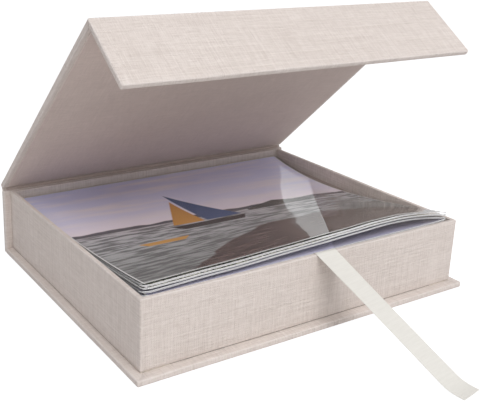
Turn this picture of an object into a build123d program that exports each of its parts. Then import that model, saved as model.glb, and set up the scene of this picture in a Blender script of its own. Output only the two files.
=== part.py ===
from build123d import *
import os
from math import sin, cos, tan, atan, radians, hypot

# A cloth-covered box for photo prints: a shallow tray glued into a case of four
# boards, whose lid folds over the tray and ends in a front flap held by magnets.
# Millimetres. Origin at the middle of the tray, on the base's underside, +Z up,
# the flap and the loose ribbon towards -Y, the spine and its hinge towards +Y.

# ---------------------------------------------------------------- driving sizes
PRINT_WIDTH = 254.0          # the prints, 10 in across
PRINT_DEPTH = 203.2          # 8 in front to back
PRINT_THICK = 0.3
SLEEVE_MARGIN = 3.0          # clear sleeve beyond the print, each side
SLEEVE_FILM = 0.2
SLEEVE_SLACK = 0.08          # air between print and film
PRINT_MARGIN = 0.4           # a print lies this near to its sleeve's fold, or to its open edge
SLEEVE_FIT = 1.0             # sleeves to the lined walls, each side

CASE_BOARD = 3.0             # grey board of base, spine, lid and flap
TRAY_BOARD = 1.9             # grey board of the tray
CLOTH = 0.6                  # book cloth with its glue
LINING = 0.4                 # lining sheet of lid and flap
TAPE = 0.2                   # paper stays round the tray's corners
TAPE_LEG = 20.0
TRAY_HEIGHT = 49.0           # rim above the base's top face
RIM_TURN_IN = 12.0           # cloth turned down inside the tray
CASE_OVERHANG = 5.5          # case beyond the tray's side walls
FRONT_OVERHANG = 7.0         # base beyond the tray's front wall
CASE_TURN_IN = 15.0          # cloth turned in on a board's inner face
LINING_INSET = 3.5           # lining short of a board's edge
SOFT_EDGE = 0.8              # rounding of a cloth-covered board edge
SOFT_RIM = 0.5               # rounding of the rim's inner edge

LID_OPEN = 42.0              # how far the lid stands open, degrees from closed
FLAP_OPEN = 12.0             # how far the flap stands open, degrees from square
LID_RIM_GAP = 1.2            # lid over the rim when closed
FLAP_WALL_GAP = 1.6          # flap before the front wall when closed
FLAP_BASE_GAP = 0.8          # flap over the base when closed
FOLD_GAP = 0.3               # clearance round each fold
FLAP_FOLD_R = 1.0            # outer radius of the cloth at the flap's fold
MITRE = 45.0                 # lid and flap each end on half of the corner between them

MAGNET_R = 6.0
MAGNET_FIT = 0.1             # pocket wall round a magnet
FLAP_MAGNET = 2.0            # thickness of a magnet in the flap
TRAY_MAGNET = 1.4            # thickness of a magnet in the front wall
MAGNET_SPACING = 160.0
MAGNET_HEIGHT = 24.0         # above the table, with the flap closed

RIBBON_WIDTH = 17.0
RIBBON_THICK = 0.4
RIBBON_FIT = 0.1             # ribbon to what it lies on
RIBBON_X = 7.2               # middle of the ribbon where it crosses the front rim
RIBBON_ON_FLOOR = 80.0       # ribbon lying under the prints
RIBBON_FLOOR_BEND = 1.2
TAIL_REACH = 111.0           # how far the loose end runs out from the front wall
TAIL_DRIFT = 20.8            # how far it runs sideways on the way
TAIL_ON_TABLE = 9.0          # the stretch of it that lies on the table
TAIL_START = 0.3             # the loose end begins this far out from the wall
TAIL_STRAIGHT = (0.3, 0.9)   # the shares of its run between which it is straight
PATCH_LENGTH = 24.0
PATCH_MARGIN = 6.0           # patch beyond the ribbon's edges
PATCH_THICK = 0.3

STACK_UNDER_RIM = 18.3       # the flat lower prints fill the tray up to here below the rim
STACK_FIT = 0.3              # stack over the patch
TOP_SHEETS = 3               # sleeved prints that bow up over the rim
LOW_SHEETS = 2               # those under them, which bow less
SHEET_PITCH = 1.0            # one sleeve above the next at the rear
SHEET_FAN = 1.0              # how much more they part at the front
SHEET_SLIP = 0.25            # how far each slips sideways from the one above
# Height of the top sleeve over the stack along its left and right edges, as
# a + b*u + c*u**2 + d*u**3, where u runs from 0 at the rear to 1 at the front.
RISE_LEFT = (12.2, 0.0, 4.0, 7.5)
RISE_RIGHT = (12.7, -46.5, 87.8, -30.2)
LOW_DROP = (3.5, 1.6)        # how much less the low sheets rise in front, left and right
# The top sheets also arch between those edges: this much at the front, and at each
# place across, from -1 on the left to 1 on the right, this share of it.
ARCH = 6.6
ARCH_SHARES = ((-1.0, 0.0), (-0.46, 0.18), (-0.08, 0.5), (0.54, 1.0), (0.78, 0.8), (1.0, 0.0))
STATIONS = 6                 # points along each bowed edge

# ---------------------------------------------------------------- worked out
case_thick = CASE_BOARD + 2 * CLOTH
wall_thick = CLOTH + TAPE + TRAY_BOARD + CLOTH
sleeve_width = PRINT_WIDTH + 2 * SLEEVE_MARGIN
sleeve_depth = PRINT_DEPTH + 2 * SLEEVE_MARGIN
inner_width = sleeve_width + 2 * SLEEVE_FIT
inner_depth = sleeve_depth + 2 * SLEEVE_FIT
tray_width = inner_width + 2 * wall_thick
tray_depth = inner_depth + 2 * wall_thick
case_width = tray_width + 2 * CASE_OVERHANG
front_y = -tray_depth / 2
rear_y = tray_depth / 2
inner_front_y = -inner_depth / 2
base_top = case_thick
rim_z = base_top + TRAY_HEIGHT
floor_z = base_top + TRAY_BOARD + CLOTH
spine_out_y = rear_y + case_thick

# The folds, as they lie with the lid closed.
hinge_r = CLOTH
hinge_y = spine_out_y - hinge_r
hinge_z = rim_z + hinge_r + FOLD_GAP
lid_top_z = rim_z + LID_RIM_GAP + case_thick
strip_length = lid_top_z - hinge_r - hinge_z
lid_rear_y = hinge_y - hinge_r - FOLD_GAP
lid_front_y = front_y - FLAP_WALL_GAP - case_thick
lid_length = lid_rear_y - lid_front_y
fold_y = lid_front_y + FLAP_FOLD_R
fold_z = lid_top_z - FLAP_FOLD_R
flap_end_z = base_top + FLAP_BASE_GAP
flap_length = lid_top_z - flap_end_z


def leaning(origin, degrees):
    """A plane at origin whose local Z leans back from upright by so many degrees."""
    lean = radians(degrees)
    return Plane(origin=origin, x_dir=(1, 0, 0), z_dir=(0, sin(lean), cos(lean)))


# The lid turned open about the lower crease, and the flap about its fold. Their
# local Y and Z are the row's own when the box is closed.
lid_frame = leaning((0, hinge_y, hinge_z), LID_OPEN)
fold_at = lid_frame.from_local_coords((0, fold_y - hinge_y, fold_z - hinge_z))
flap_frame = leaning(fold_at, LID_OPEN + FLAP_OPEN)
fold_axis = Plane(origin=fold_at, x_dir=(0, 1, 0), z_dir=(1, 0, 0))

os.makedirs("parts", exist_ok=True)


def keep(name, label):
    name.part.label = label
    export_step(name.part, "parts/" + label + ".step")


# ---------------------------------------------------------------- panels of the case
def span(width, length, fold_side, reach):
    """A panel's rectangle, run on past the side that meets the flap's fold."""
    Rectangle(width, length)
    if fold_side:
        with Locations((0, fold_side * length / 2)):
            Rectangle(width, reach)


def trim(mitre, square):
    """Cut the panel back to its side of the mitre, clear of the fold's roll of cloth."""
    if mitre:
        split(bisect_by=mitre, keep=Keep.TOP)
        split(bisect_by=square, keep=Keep.TOP)
        with Locations(fold_axis):
            Cylinder(FLAP_FOLD_R + FOLD_GAP, 2 * case_width, mode=Mode.SUBTRACT)


def panel_board(face, length, fold_side=0, mitre=None, square=None, magnet_at=None):
    """The grey board of a panel whose outer face lies on a plane that looks inwards."""
    with BuildPart() as board:
        with BuildSketch(face.offset(CLOTH)):
            span(case_width - 2 * CLOTH, length - 2 * CLOTH, fold_side, 2 * case_thick)
        extrude(amount=CASE_BOARD)
        if magnet_at:
            with BuildSketch(face.offset(CLOTH + CASE_BOARD)):
                with Locations((0, magnet_at)):
                    with GridLocations(MAGNET_SPACING, 0, 2, 1):
                        Circle(MAGNET_R + MAGNET_FIT)
            extrude(amount=-FLAP_MAGNET, mode=Mode.SUBTRACT)
        trim(mitre, square)
    return board


def panel_cloth(face, length, fold_side=0, mitre=None, square=None):
    """Cloth round a panel: outer face, edges, and a frame turned in on the inner face."""
    with BuildPart() as cloth:
        with BuildSketch(face):
            span(case_width, length, fold_side, 2 * case_thick)
        extrude(amount=case_thick)
        fillet(cloth.edges(), SOFT_EDGE)
        with BuildSketch(face.offset(CLOTH)):
            span(case_width - 2 * CLOTH, length - 2 * CLOTH, fold_side, 4 * case_thick)
        extrude(amount=CASE_BOARD, mode=Mode.SUBTRACT)
        with BuildSketch(face.offset(CLOTH + CASE_BOARD)):
            Rectangle(case_width - 2 * CASE_TURN_IN, length - 2 * CASE_TURN_IN)
        extrude(amount=CLOTH, mode=Mode.SUBTRACT)
        trim(mitre, square)
    return cloth


def panel_sheet(face, length, fold_side=0, lap=False):
    """The sheet inside the turned-in frame; with a lap it covers most of the frame too."""
    fold_inset = case_thick + LINING + FOLD_GAP if fold_side else LINING_INSET
    with BuildPart() as sheet:
        with BuildSketch(face.offset(CLOTH + CASE_BOARD)):
            Rectangle(case_width - 2 * CASE_TURN_IN, length - 2 * CASE_TURN_IN)
        extrude(amount=CLOTH)
        if lap:
            with BuildSketch(face.offset(case_thick)):
                with Locations((0, fold_side * (LINING_INSET - fold_inset) / 2)):
                    Rectangle(case_width - 2 * LINING_INSET, length - LINING_INSET - fold_inset)
            extrude(amount=LINING)
    return sheet


# ---------------------------------------------------------------- base and spine
base_length = tray_depth + FRONT_OVERHANG
base_face = Plane(origin=(0, -FRONT_OVERHANG / 2, 0), x_dir=(1, 0, 0), z_dir=(0, 0, 1))
spine_face = Plane(origin=(0, spine_out_y, rim_z / 2), x_dir=(1, 0, 0), z_dir=(0, -1, 0))

base_board = panel_board(base_face, base_length)
keep(base_board, "base_board")
base_cloth = panel_cloth(base_face, base_length)
keep(base_cloth, "base_cloth")
base_inner_sheet = panel_sheet(base_face, base_length)
keep(base_inner_sheet, "base_inner_sheet")

spine_board = panel_board(spine_face, rim_z)
keep(spine_board, "spine_board")
spine_cloth = panel_cloth(spine_face, rim_z)
keep(spine_cloth, "spine_cloth")
spine_inner_sheet = panel_sheet(spine_face, rim_z)
keep(spine_inner_sheet, "spine_inner_sheet")

# ---------------------------------------------------------------- lid
lid_mid = lid_frame.from_local_coords((0, (lid_rear_y + lid_front_y) / 2 - hinge_y, lid_top_z - hinge_z))
lid_face = Plane(origin=lid_mid, x_dir=(1, 0, 0), z_dir=-lid_frame.z_dir)
lid_mitre = leaning(fold_at, LID_OPEN + MITRE).offset(FOLD_GAP / 2)
lid_square = leaning(fold_at, LID_OPEN + 2 * MITRE)

lid_board = panel_board(lid_face, lid_length, 1, lid_mitre, lid_square)
keep(lid_board, "lid_board")
lid_cloth = panel_cloth(lid_face, lid_length, 1, lid_mitre, lid_square)
keep(lid_cloth, "lid_cloth")
lid_lining = panel_sheet(lid_face, lid_length, 1, lap=True)
keep(lid_lining, "lid_lining")

# The joint strip that bridges spine and lid: cloth outside, lining inside, round
# at both creases.
for label, inner in (("lid_hinge_cloth", 0), ("lid_hinge_lining", 1)):
    with BuildPart() as strip:
        with BuildSketch(Plane(origin=lid_frame.origin, x_dir=lid_frame.y_dir, z_dir=(1, 0, 0))):
            with Locations((0, strip_length / 2)):
                SlotCenterToCenter(strip_length, 2 * hinge_r, rotation=90)
            with Locations((hinge_r * (0.5 if inner else -0.5), strip_length / 2)):
                Rectangle(hinge_r, strip_length + 2 * hinge_r, mode=Mode.SUBTRACT)
        extrude(amount=case_width / 2, both=True)
    keep(strip, label)

# ---------------------------------------------------------------- flap
flap_mid = flap_frame.from_local_coords((0, -FLAP_FOLD_R, FLAP_FOLD_R - flap_length / 2))
flap_face = Plane(origin=flap_mid, x_dir=(1, 0, 0), z_dir=flap_frame.y_dir)
flap_mitre_up = leaning(fold_at, LID_OPEN + FLAP_OPEN + MITRE)
flap_mitre = Plane(origin=fold_at, x_dir=(1, 0, 0), z_dir=-flap_mitre_up.z_dir).offset(FOLD_GAP / 2)
flap_square = Plane(origin=fold_at, x_dir=(1, 0, 0), z_dir=-flap_frame.z_dir)
flap_magnet_at = flap_length / 2 - (MAGNET_HEIGHT - flap_end_z)

flap_board = panel_board(flap_face, flap_length, -1, flap_mitre, flap_square, flap_magnet_at)
keep(flap_board, "flap_board")
flap_cloth = panel_cloth(flap_face, flap_length, -1, flap_mitre, flap_square)
keep(flap_cloth, "flap_cloth")
flap_lining = panel_sheet(flap_face, flap_length, -1, lap=True)
keep(flap_lining, "flap_lining")

with BuildPart() as flap_magnets:
    with BuildSketch(flap_face.offset(CLOTH + CASE_BOARD)):
        with Locations((0, flap_magnet_at)):
            with GridLocations(MAGNET_SPACING, 0, 2, 1):
                Circle(MAGNET_R)
    extrude(amount=-FLAP_MAGNET)
keep(flap_magnets, "flap_magnets")

# The roll of cloth round the flap's fold, about the fold's own axis.
with BuildPart() as flap_hinge_cloth:
    with BuildSketch(fold_axis):
        Circle(FLAP_FOLD_R)
    extrude(amount=case_width / 2 - SOFT_EDGE, both=True)
keep(flap_hinge_cloth, "flap_hinge_cloth")

# ---------------------------------------------------------------- tray boards
ring_width = tray_width - 2 * (CLOTH + TAPE)
ring_depth = tray_depth - 2 * (CLOTH + TAPE)
lined_width = inner_width + 2 * CLOTH
lined_depth = inner_depth + 2 * CLOTH
board_height = TRAY_HEIGHT - CLOTH
wall_y = (ring_depth - TRAY_BOARD) / 2
wall_x = (ring_width - TRAY_BOARD) / 2

with BuildPart() as tray_floor_board:
    with BuildSketch(Plane.XY.offset(base_top)):
        Rectangle(lined_width, lined_depth)
    extrude(amount=TRAY_BOARD)
keep(tray_floor_board, "tray_floor_board")

front_board_face = Plane(origin=(0, front_y + CLOTH + TAPE, MAGNET_HEIGHT), x_dir=(1, 0, 0), z_dir=(0, 1, 0))

with BuildPart() as tray_front_board:
    with BuildSketch(Plane.XY.offset(base_top)):
        with Locations((0, -wall_y)):
            Rectangle(ring_width, TRAY_BOARD)
    extrude(amount=board_height)
    with BuildSketch(front_board_face):
        with GridLocations(MAGNET_SPACING, 0, 2, 1):
            Circle(MAGNET_R + MAGNET_FIT)
    extrude(amount=TRAY_MAGNET, mode=Mode.SUBTRACT)
keep(tray_front_board, "tray_front_board")

with BuildPart() as tray_rear_board:
    with BuildSketch(Plane.XY.offset(base_top)):
        with Locations((0, wall_y)):
            Rectangle(ring_width, TRAY_BOARD)
    extrude(amount=board_height)
keep(tray_rear_board, "tray_rear_board")

for label, side in (("tray_left_board", -1), ("tray_right_board", 1)):
    with BuildPart() as side_board:
        with BuildSketch(Plane.XY.offset(base_top)):
            with Locations((side * wall_x, 0)):
                Rectangle(TRAY_BOARD, lined_depth)
        extrude(amount=board_height)
    keep(side_board, label)

with BuildPart() as tray_magnets:
    with BuildSketch(front_board_face):
        with GridLocations(MAGNET_SPACING, 0, 2, 1):
            Circle(MAGNET_R)
    extrude(amount=TRAY_MAGNET)
keep(tray_magnets, "tray_magnets")

with BuildPart() as tray_corner_tapes:
    with BuildSketch(Plane.XY.offset(base_top)):
        Rectangle(ring_width + 2 * TAPE, ring_depth + 2 * TAPE)
        Rectangle(ring_width, ring_depth, mode=Mode.SUBTRACT)
        with GridLocations(ring_width, ring_depth, 2, 2):
            Rectangle(2 * TAPE_LEG, 2 * TAPE_LEG, mode=Mode.INTERSECT)
    extrude(amount=board_height)
keep(tray_corner_tapes, "tray_corner_tapes")

# ---------------------------------------------------------------- tray covering
with BuildPart() as tray_cloth:
    with BuildSketch(Plane.XY.offset(base_top)):
        Rectangle(tray_width, tray_depth)
    extrude(amount=TRAY_HEIGHT)
    fillet(tray_cloth.edges().filter_by(Axis.Z), SOFT_EDGE)
    fillet(tray_cloth.edges().group_by(Axis.Z)[-1], SOFT_EDGE)
    with BuildSketch(Plane.XY.offset(base_top)):
        Rectangle(tray_width - 2 * CLOTH, tray_depth - 2 * CLOTH)
    extrude(amount=board_height, mode=Mode.SUBTRACT)
    with BuildSketch(Plane.XY.offset(rim_z - RIM_TURN_IN)):
        Rectangle(lined_width, lined_depth)
    extrude(amount=RIM_TURN_IN - CLOTH)
    with BuildSketch(Plane.XY.offset(rim_z)):
        Rectangle(inner_width, inner_depth)
    extrude(amount=-RIM_TURN_IN, mode=Mode.SUBTRACT)
    top_edges = tray_cloth.edges().filter_by(GeomType.LINE).group_by(Axis.Z)[-1]
    fillet(top_edges.sort_by_distance((0, 0, rim_z))[:4], SOFT_RIM)
keep(tray_cloth, "tray_cloth")

with BuildPart() as tray_wall_lining:
    with BuildSketch(Plane.XY.offset(base_top + TRAY_BOARD)):
        Rectangle(lined_width, lined_depth)
        Rectangle(inner_width, inner_depth, mode=Mode.SUBTRACT)
    extrude(amount=rim_z - RIM_TURN_IN - base_top - TRAY_BOARD)
keep(tray_wall_lining, "tray_wall_lining")

with BuildPart() as tray_floor_lining:
    with BuildSketch(Plane.XY.offset(base_top + TRAY_BOARD)):
        Rectangle(inner_width, inner_depth)
    extrude(amount=CLOTH)
keep(tray_floor_lining, "tray_floor_lining")

# ---------------------------------------------------------------- ribbon
# It is stuck to the floor under the prints, runs to the front wall, up it and over
# the rim, then straight down to the table.
ribbon_mid = RIBBON_FIT + RIBBON_THICK / 2
tail_run = TAIL_REACH - TAIL_ON_TABLE
table_mid = RIBBON_THICK / 2 + RIBBON_FIT
tail_fall = rim_z + ribbon_mid - table_mid
tail_slope = tail_fall / tail_run
over_r = SOFT_EDGE + ribbon_mid
edge_y = front_y + SOFT_EDGE - over_r * tan(atan(tail_slope) / 2)
start_y = front_y - TAIL_START
start_z = rim_z + ribbon_mid - (edge_y - start_y) * tail_slope
floor_start_y = inner_front_y + RIBBON_ON_FLOOR

with BuildPart() as lift_ribbon:
    with BuildSketch(Plane.YZ.offset(RIBBON_X - RIBBON_WIDTH / 2)):
        with BuildLine():
            FilletPolyline(
                (floor_start_y, floor_z + ribbon_mid),
                (inner_front_y + ribbon_mid, floor_z + ribbon_mid),
                (inner_front_y + ribbon_mid, rim_z + ribbon_mid),
                (edge_y, rim_z + ribbon_mid),
                (start_y, start_z),
                radius=[RIBBON_FLOOR_BEND, SOFT_RIM + ribbon_mid, over_r],
            )
        trace(line_width=RIBBON_THICK)
    extrude(amount=RIBBON_WIDTH)
keep(lift_ribbon, "lift_ribbon")

drift_turn = TAIL_DRIFT / TAIL_REACH


def tail_section(out, height, slope, turn):
    """The ribbon's section so far out from the wall, at a height, falling at a slope."""
    at = (RIBBON_X + drift_turn * out, front_y - out, height)
    across = (1, turn, 0)
    along = Vector(turn, -1, -slope * hypot(1, turn))
    return Plane(origin=at, x_dir=across, z_dir=along)


def falling(out):
    """Height of the straight part of the loose end, so far out from the wall."""
    return start_z - (out - TAIL_START) * tail_slope


straight_outs = [tail_run * share for share in TAIL_STRAIGHT]
tail_places = [
    (TAIL_START, start_z, tail_slope, 0),
    *[(out, falling(out), tail_slope, drift_turn) for out in straight_outs],
    (TAIL_REACH, table_mid, 0, drift_turn),
]
with BuildPart() as lift_ribbon_tail:
    for out, height, slope, turn in tail_places:
        with BuildSketch(tail_section(out, height, slope, turn)):
            Rectangle(RIBBON_WIDTH, RIBBON_THICK)
    loft()
keep(lift_ribbon_tail, "lift_ribbon_tail")

patch_z = floor_z + RIBBON_THICK + 2 * RIBBON_FIT
with BuildPart() as ribbon_patch:
    with BuildSketch(Plane.XY.offset(floor_z)):
        with Locations((RIBBON_X, floor_start_y)):
            Rectangle(RIBBON_WIDTH + 2 * PATCH_MARGIN, PATCH_LENGTH)
    extrude(amount=patch_z + PATCH_THICK - floor_z)
    with BuildSketch(Plane.XY.offset(floor_z)):
        with Locations((RIBBON_X, floor_start_y - PATCH_LENGTH / 2)):
            Rectangle(RIBBON_WIDTH + 2 * RIBBON_FIT, PATCH_LENGTH + 2 * RIBBON_FIT)
    extrude(amount=patch_z - floor_z, mode=Mode.SUBTRACT)
keep(ribbon_patch, "ribbon_patch")

# ---------------------------------------------------------------- prints
stack_z = patch_z + PATCH_THICK + STACK_FIT
stack_top = rim_z - STACK_UNDER_RIM

with BuildPart() as print_stack:
    with BuildSketch(Plane.XY.offset(stack_z)):
        Rectangle(sleeve_width, sleeve_depth)
    extrude(amount=stack_top - stack_z)
keep(print_stack, "print_stack")


def rise(edge, u):
    """One edge's height over the stack, u of the way from rear to front."""
    return sum(term * u**power for power, term in enumerate(edge))


def arch(x):
    """The share of the arch at a place across the sheets, straight between its points."""
    for (left, low), (right, high) in zip(ARCH_SHARES, ARCH_SHARES[1:]):
        place = x / (sleeve_width / 2)
        if place <= right:
            return low + (high - low) * (place - left) / (right - left)
    return 0


def sheet_top(sheet, x, y):
    """Height of a sheet's upper face, counted from the topmost one down."""
    u = (sleeve_depth / 2 - y) / sleeve_depth
    right = (x + sleeve_width / 2) / sleeve_width
    over = (1 - right) * rise(RISE_LEFT, u) + right * rise(RISE_RIGHT, u)
    if sheet < TOP_SHEETS:
        over += ARCH * arch(x) * u**2
    else:
        over -= ((1 - right) * LOW_DROP[0] + right * LOW_DROP[1]) * u**3
    return stack_top + over - sheet * (SHEET_PITCH + SHEET_FAN * u**3)


def bowed_edge(sheet, x, rear, front, drop):
    """Points of a bowed line from rear to front, so far under the sheet's upper face."""
    ys = [rear + (front - rear) * step / (STATIONS - 1) for step in range(STATIONS)]
    return [(y, sheet_top(sheet, x, y) - drop) for y in ys]


sleeve_thick = 2 * SLEEVE_FILM + 2 * SLEEVE_SLACK + PRINT_THICK
sleeve_y = sleeve_depth / 2
pushed_back_y = sleeve_y - PRINT_MARGIN
pushed_forward_y = PRINT_DEPTH + PRINT_MARGIN - sleeve_y
print_drop = SLEEVE_FILM + SLEEVE_SLACK
arch_places = [place * sleeve_width / 2 for place, _ in ARCH_SHARES[1:-1]]

for sheet in range(TOP_SHEETS + LOW_SHEETS):
    slip = SHEET_SLIP * (sheet % 2 * 2 - 1) if sheet else 0
    print_rear_y = pushed_forward_y if sheet % 2 else pushed_back_y
    print_front_y = print_rear_y - PRINT_DEPTH
    # the sleeve: one film folded at the rear, open along the front
    with BuildPart() as sleeve:
        for x in (-sleeve_width / 2, *arch_places, sleeve_width / 2):
            with BuildSketch(Plane.YZ.offset(x + slip)):
                with BuildLine():
                    low = Spline(*bowed_edge(sheet, x, -sleeve_y, sleeve_y, sleeve_thick))
                    high = Spline(*bowed_edge(sheet, x, sleeve_y, -sleeve_y, 0))
                    inside_high = Spline(
                        *bowed_edge(sheet, x, -sleeve_y, sleeve_y - SLEEVE_FILM, SLEEVE_FILM)
                    )
                    inside_low = Spline(
                        *bowed_edge(sheet, x, sleeve_y - SLEEVE_FILM, -sleeve_y, sleeve_thick - SLEEVE_FILM)
                    )
                    Line(low @ 1, high @ 0)
                    Line(high @ 1, inside_high @ 0)
                    Line(inside_high @ 1, inside_low @ 0)
                    Line(inside_low @ 1, low @ 0)
                make_face()
        loft(ruled=True)
    keep(sleeve, f"sleeve_{sheet + 1}")

    with BuildPart() as photo_print:
        for x in (-PRINT_WIDTH / 2, *arch_places, PRINT_WIDTH / 2):
            with BuildSketch(Plane.YZ.offset(x + slip)):
                with BuildLine():
                    under = Spline(
                        *bowed_edge(sheet, x, print_front_y, print_rear_y, print_drop + PRINT_THICK)
                    )
                    over = Spline(*bowed_edge(sheet, x, print_rear_y, print_front_y, print_drop))
                    Line(under @ 1, over @ 0)
                    Line(over @ 1, under @ 0)
                make_face()
        loft(ruled=True)
    keep(photo_print, f"print_{sheet + 1}")
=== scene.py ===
import math

import bmesh
import bpy
from mathutils import Matrix, Vector, noise


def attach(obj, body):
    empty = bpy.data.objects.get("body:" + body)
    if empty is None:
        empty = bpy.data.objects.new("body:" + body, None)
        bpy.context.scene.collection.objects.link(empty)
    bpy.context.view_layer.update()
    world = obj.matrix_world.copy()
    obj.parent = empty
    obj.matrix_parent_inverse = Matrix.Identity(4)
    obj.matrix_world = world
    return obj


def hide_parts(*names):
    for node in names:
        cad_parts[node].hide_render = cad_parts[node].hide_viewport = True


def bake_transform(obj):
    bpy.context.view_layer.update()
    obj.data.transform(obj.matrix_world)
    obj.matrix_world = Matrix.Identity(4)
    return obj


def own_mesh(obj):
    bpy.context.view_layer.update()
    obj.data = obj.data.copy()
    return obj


# A cloth-covered box for photo prints, standing half open with its ribbon hanging out.
# Metres: +Z is up, and the flap and the ribbon point towards -Y.
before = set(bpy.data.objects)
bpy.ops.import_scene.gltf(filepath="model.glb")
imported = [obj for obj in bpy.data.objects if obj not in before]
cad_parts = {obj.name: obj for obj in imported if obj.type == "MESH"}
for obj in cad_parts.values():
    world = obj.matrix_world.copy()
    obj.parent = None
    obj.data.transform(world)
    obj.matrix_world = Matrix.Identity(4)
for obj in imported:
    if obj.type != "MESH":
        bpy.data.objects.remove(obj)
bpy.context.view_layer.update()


# ---------------------------------------------------------------- camera
# It stands before the box's left front corner, a little above the prints, and looks
# over them into the open lid.
PHOTO_WIDTH, PHOTO_HEIGHT = 490, 407
CAMERA_PLACE = (-0.3388, -0.4825, 0.2686)
CAMERA_AZIMUTH = 31.918       # degrees from +Y towards +X
CAMERA_DROP = 17.427          # degrees below the horizon
CAMERA_ROLL = 1.316
CAMERA_FOCAL = 810.0          # pixels
VIEW_AXIS = (185.0, 166.2)    # the pixel that the lens points at

camera = bpy.data.objects.new("camera", bpy.data.cameras.new("camera"))
camera.data.lens = CAMERA_FOCAL / PHOTO_WIDTH * camera.data.sensor_width
camera.data.shift_x = (PHOTO_WIDTH / 2 - VIEW_AXIS[0]) / PHOTO_WIDTH
camera.data.shift_y = (VIEW_AXIS[1] - PHOTO_HEIGHT / 2) / PHOTO_WIDTH
azimuth, drop = math.radians(CAMERA_AZIMUTH), math.radians(CAMERA_DROP)
gaze = Vector((math.sin(azimuth) * math.cos(drop), math.cos(azimuth) * math.cos(drop), -math.sin(drop)))
camera.matrix_world = (
    Matrix.Translation(CAMERA_PLACE)
    @ gaze.to_track_quat("-Z", "Y").to_matrix().to_4x4()
    @ Matrix.Rotation(math.radians(CAMERA_ROLL), 4, "Z")
)
bpy.context.scene.collection.objects.link(camera)
bpy.context.scene.camera = camera


# ---------------------------------------------------------------- table and light
# A plain pale table, one broad soft lamp high before the box, and pale light from all
# round. The table looks white, but the box still throws its shadow on it.
TABLE_REACH = 4.0
TABLE_Z = -0.0003             # just under the base, which rests on it
TABLE_COLOUR = (0.80, 0.79, 0.79, 1)
TABLE_WHITE = 1.32            # how bright the table looks to the camera
TABLE_SHARE = 0.72            # how much of that hides the shadow
SOFT_LIGHT = (0.97, 0.97, 1.0, 1)
SOFT_LIGHT_LEVEL = 0.48
LAMP_PLACE = (-0.20, -1.45, 1.75)
LAMP_SIZE = (1.5, 1.1)
LAMP_POWER = 30.0


def shader_node(tree, kind, inputs=None, **settings):
    """A node with its settings made and its inputs filled or linked."""
    made = tree.nodes.new(kind)
    for setting, value in settings.items():
        setattr(made, setting, value)
    for socket, value in (inputs or {}).items():
        if isinstance(value, bpy.types.NodeSocket):
            tree.links.new(value, made.inputs[socket])
        else:
            made.inputs[socket].default_value = value
    return made


def bare_material(name):
    """A material with an empty node tree, and that tree."""
    material = bpy.data.materials.new(name)
    material.use_nodes = True
    material.node_tree.nodes.clear()
    return material, material.node_tree


table = bpy.data.objects.new("table", bpy.data.meshes.new("table"))
table.data.from_pydata(
    [(x * TABLE_REACH, y * TABLE_REACH, TABLE_Z) for x, y in ((-1, -1), (1, -1), (1, 1), (-1, 1))],
    [], [(0, 1, 2, 3)],
)
bpy.context.scene.collection.objects.link(table)
table_paint, tree = bare_material("table_paint")
rays = shader_node(tree, "ShaderNodeLightPath")
seen = shader_node(tree, "ShaderNodeMath", {
    0: rays.outputs["Is Camera Ray"], 1: TABLE_SHARE}, operation="MULTIPLY")
pale = shader_node(tree, "ShaderNodeBsdfDiffuse", {"Color": TABLE_COLOUR})
white = shader_node(tree, "ShaderNodeEmission", {"Color": (1, 1, 1, 1), "Strength": TABLE_WHITE})
table_look = shader_node(tree, "ShaderNodeMixShader", {
    0: seen.outputs[0], 1: pale.outputs[0], 2: white.outputs[0]})
shader_node(tree, "ShaderNodeOutputMaterial", {"Surface": table_look.outputs[0]})
table.data.materials.append(table_paint)

lamp = bpy.data.objects.new("soft_lamp", bpy.data.lights.new("soft_lamp", "AREA"))
lamp.data.shape = "RECTANGLE"
lamp.data.size, lamp.data.size_y = LAMP_SIZE
lamp.data.energy = LAMP_POWER
lamp.matrix_world = (
    Matrix.Translation(LAMP_PLACE)
    @ (-Vector(LAMP_PLACE)).to_track_quat("-Z", "Y").to_matrix().to_4x4()
)
lamp.visible_camera = False
bpy.context.scene.collection.objects.link(lamp)

world = bpy.data.worlds.new("studio")
bpy.context.scene.world = world
world.use_nodes = True
tree = world.node_tree
tree.nodes.clear()
rays = shader_node(tree, "ShaderNodeLightPath")
shiny = shader_node(tree, "ShaderNodeMath", {
    0: rays.outputs["Is Glossy Ray"], 1: rays.outputs["Is Transmission Ray"]}, operation="MAXIMUM")
plain = shader_node(tree, "ShaderNodeMath", {
    0: rays.outputs["Is Camera Ray"], 1: shiny.outputs[0]}, operation="MAXIMUM")
soft = shader_node(tree, "ShaderNodeBackground", {"Color": SOFT_LIGHT, "Strength": SOFT_LIGHT_LEVEL})
white = shader_node(tree, "ShaderNodeBackground", {"Color": (1, 1, 1, 1), "Strength": 1.0})
sky_light = shader_node(tree, "ShaderNodeMixShader", {
    0: plain.outputs[0], 1: soft.outputs[0], 2: white.outputs[0]})
shader_node(tree, "ShaderNodeOutputWorld", {"Surface": sky_light.outputs[0]})
bpy.context.scene.view_settings.view_transform = "Standard"


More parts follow.
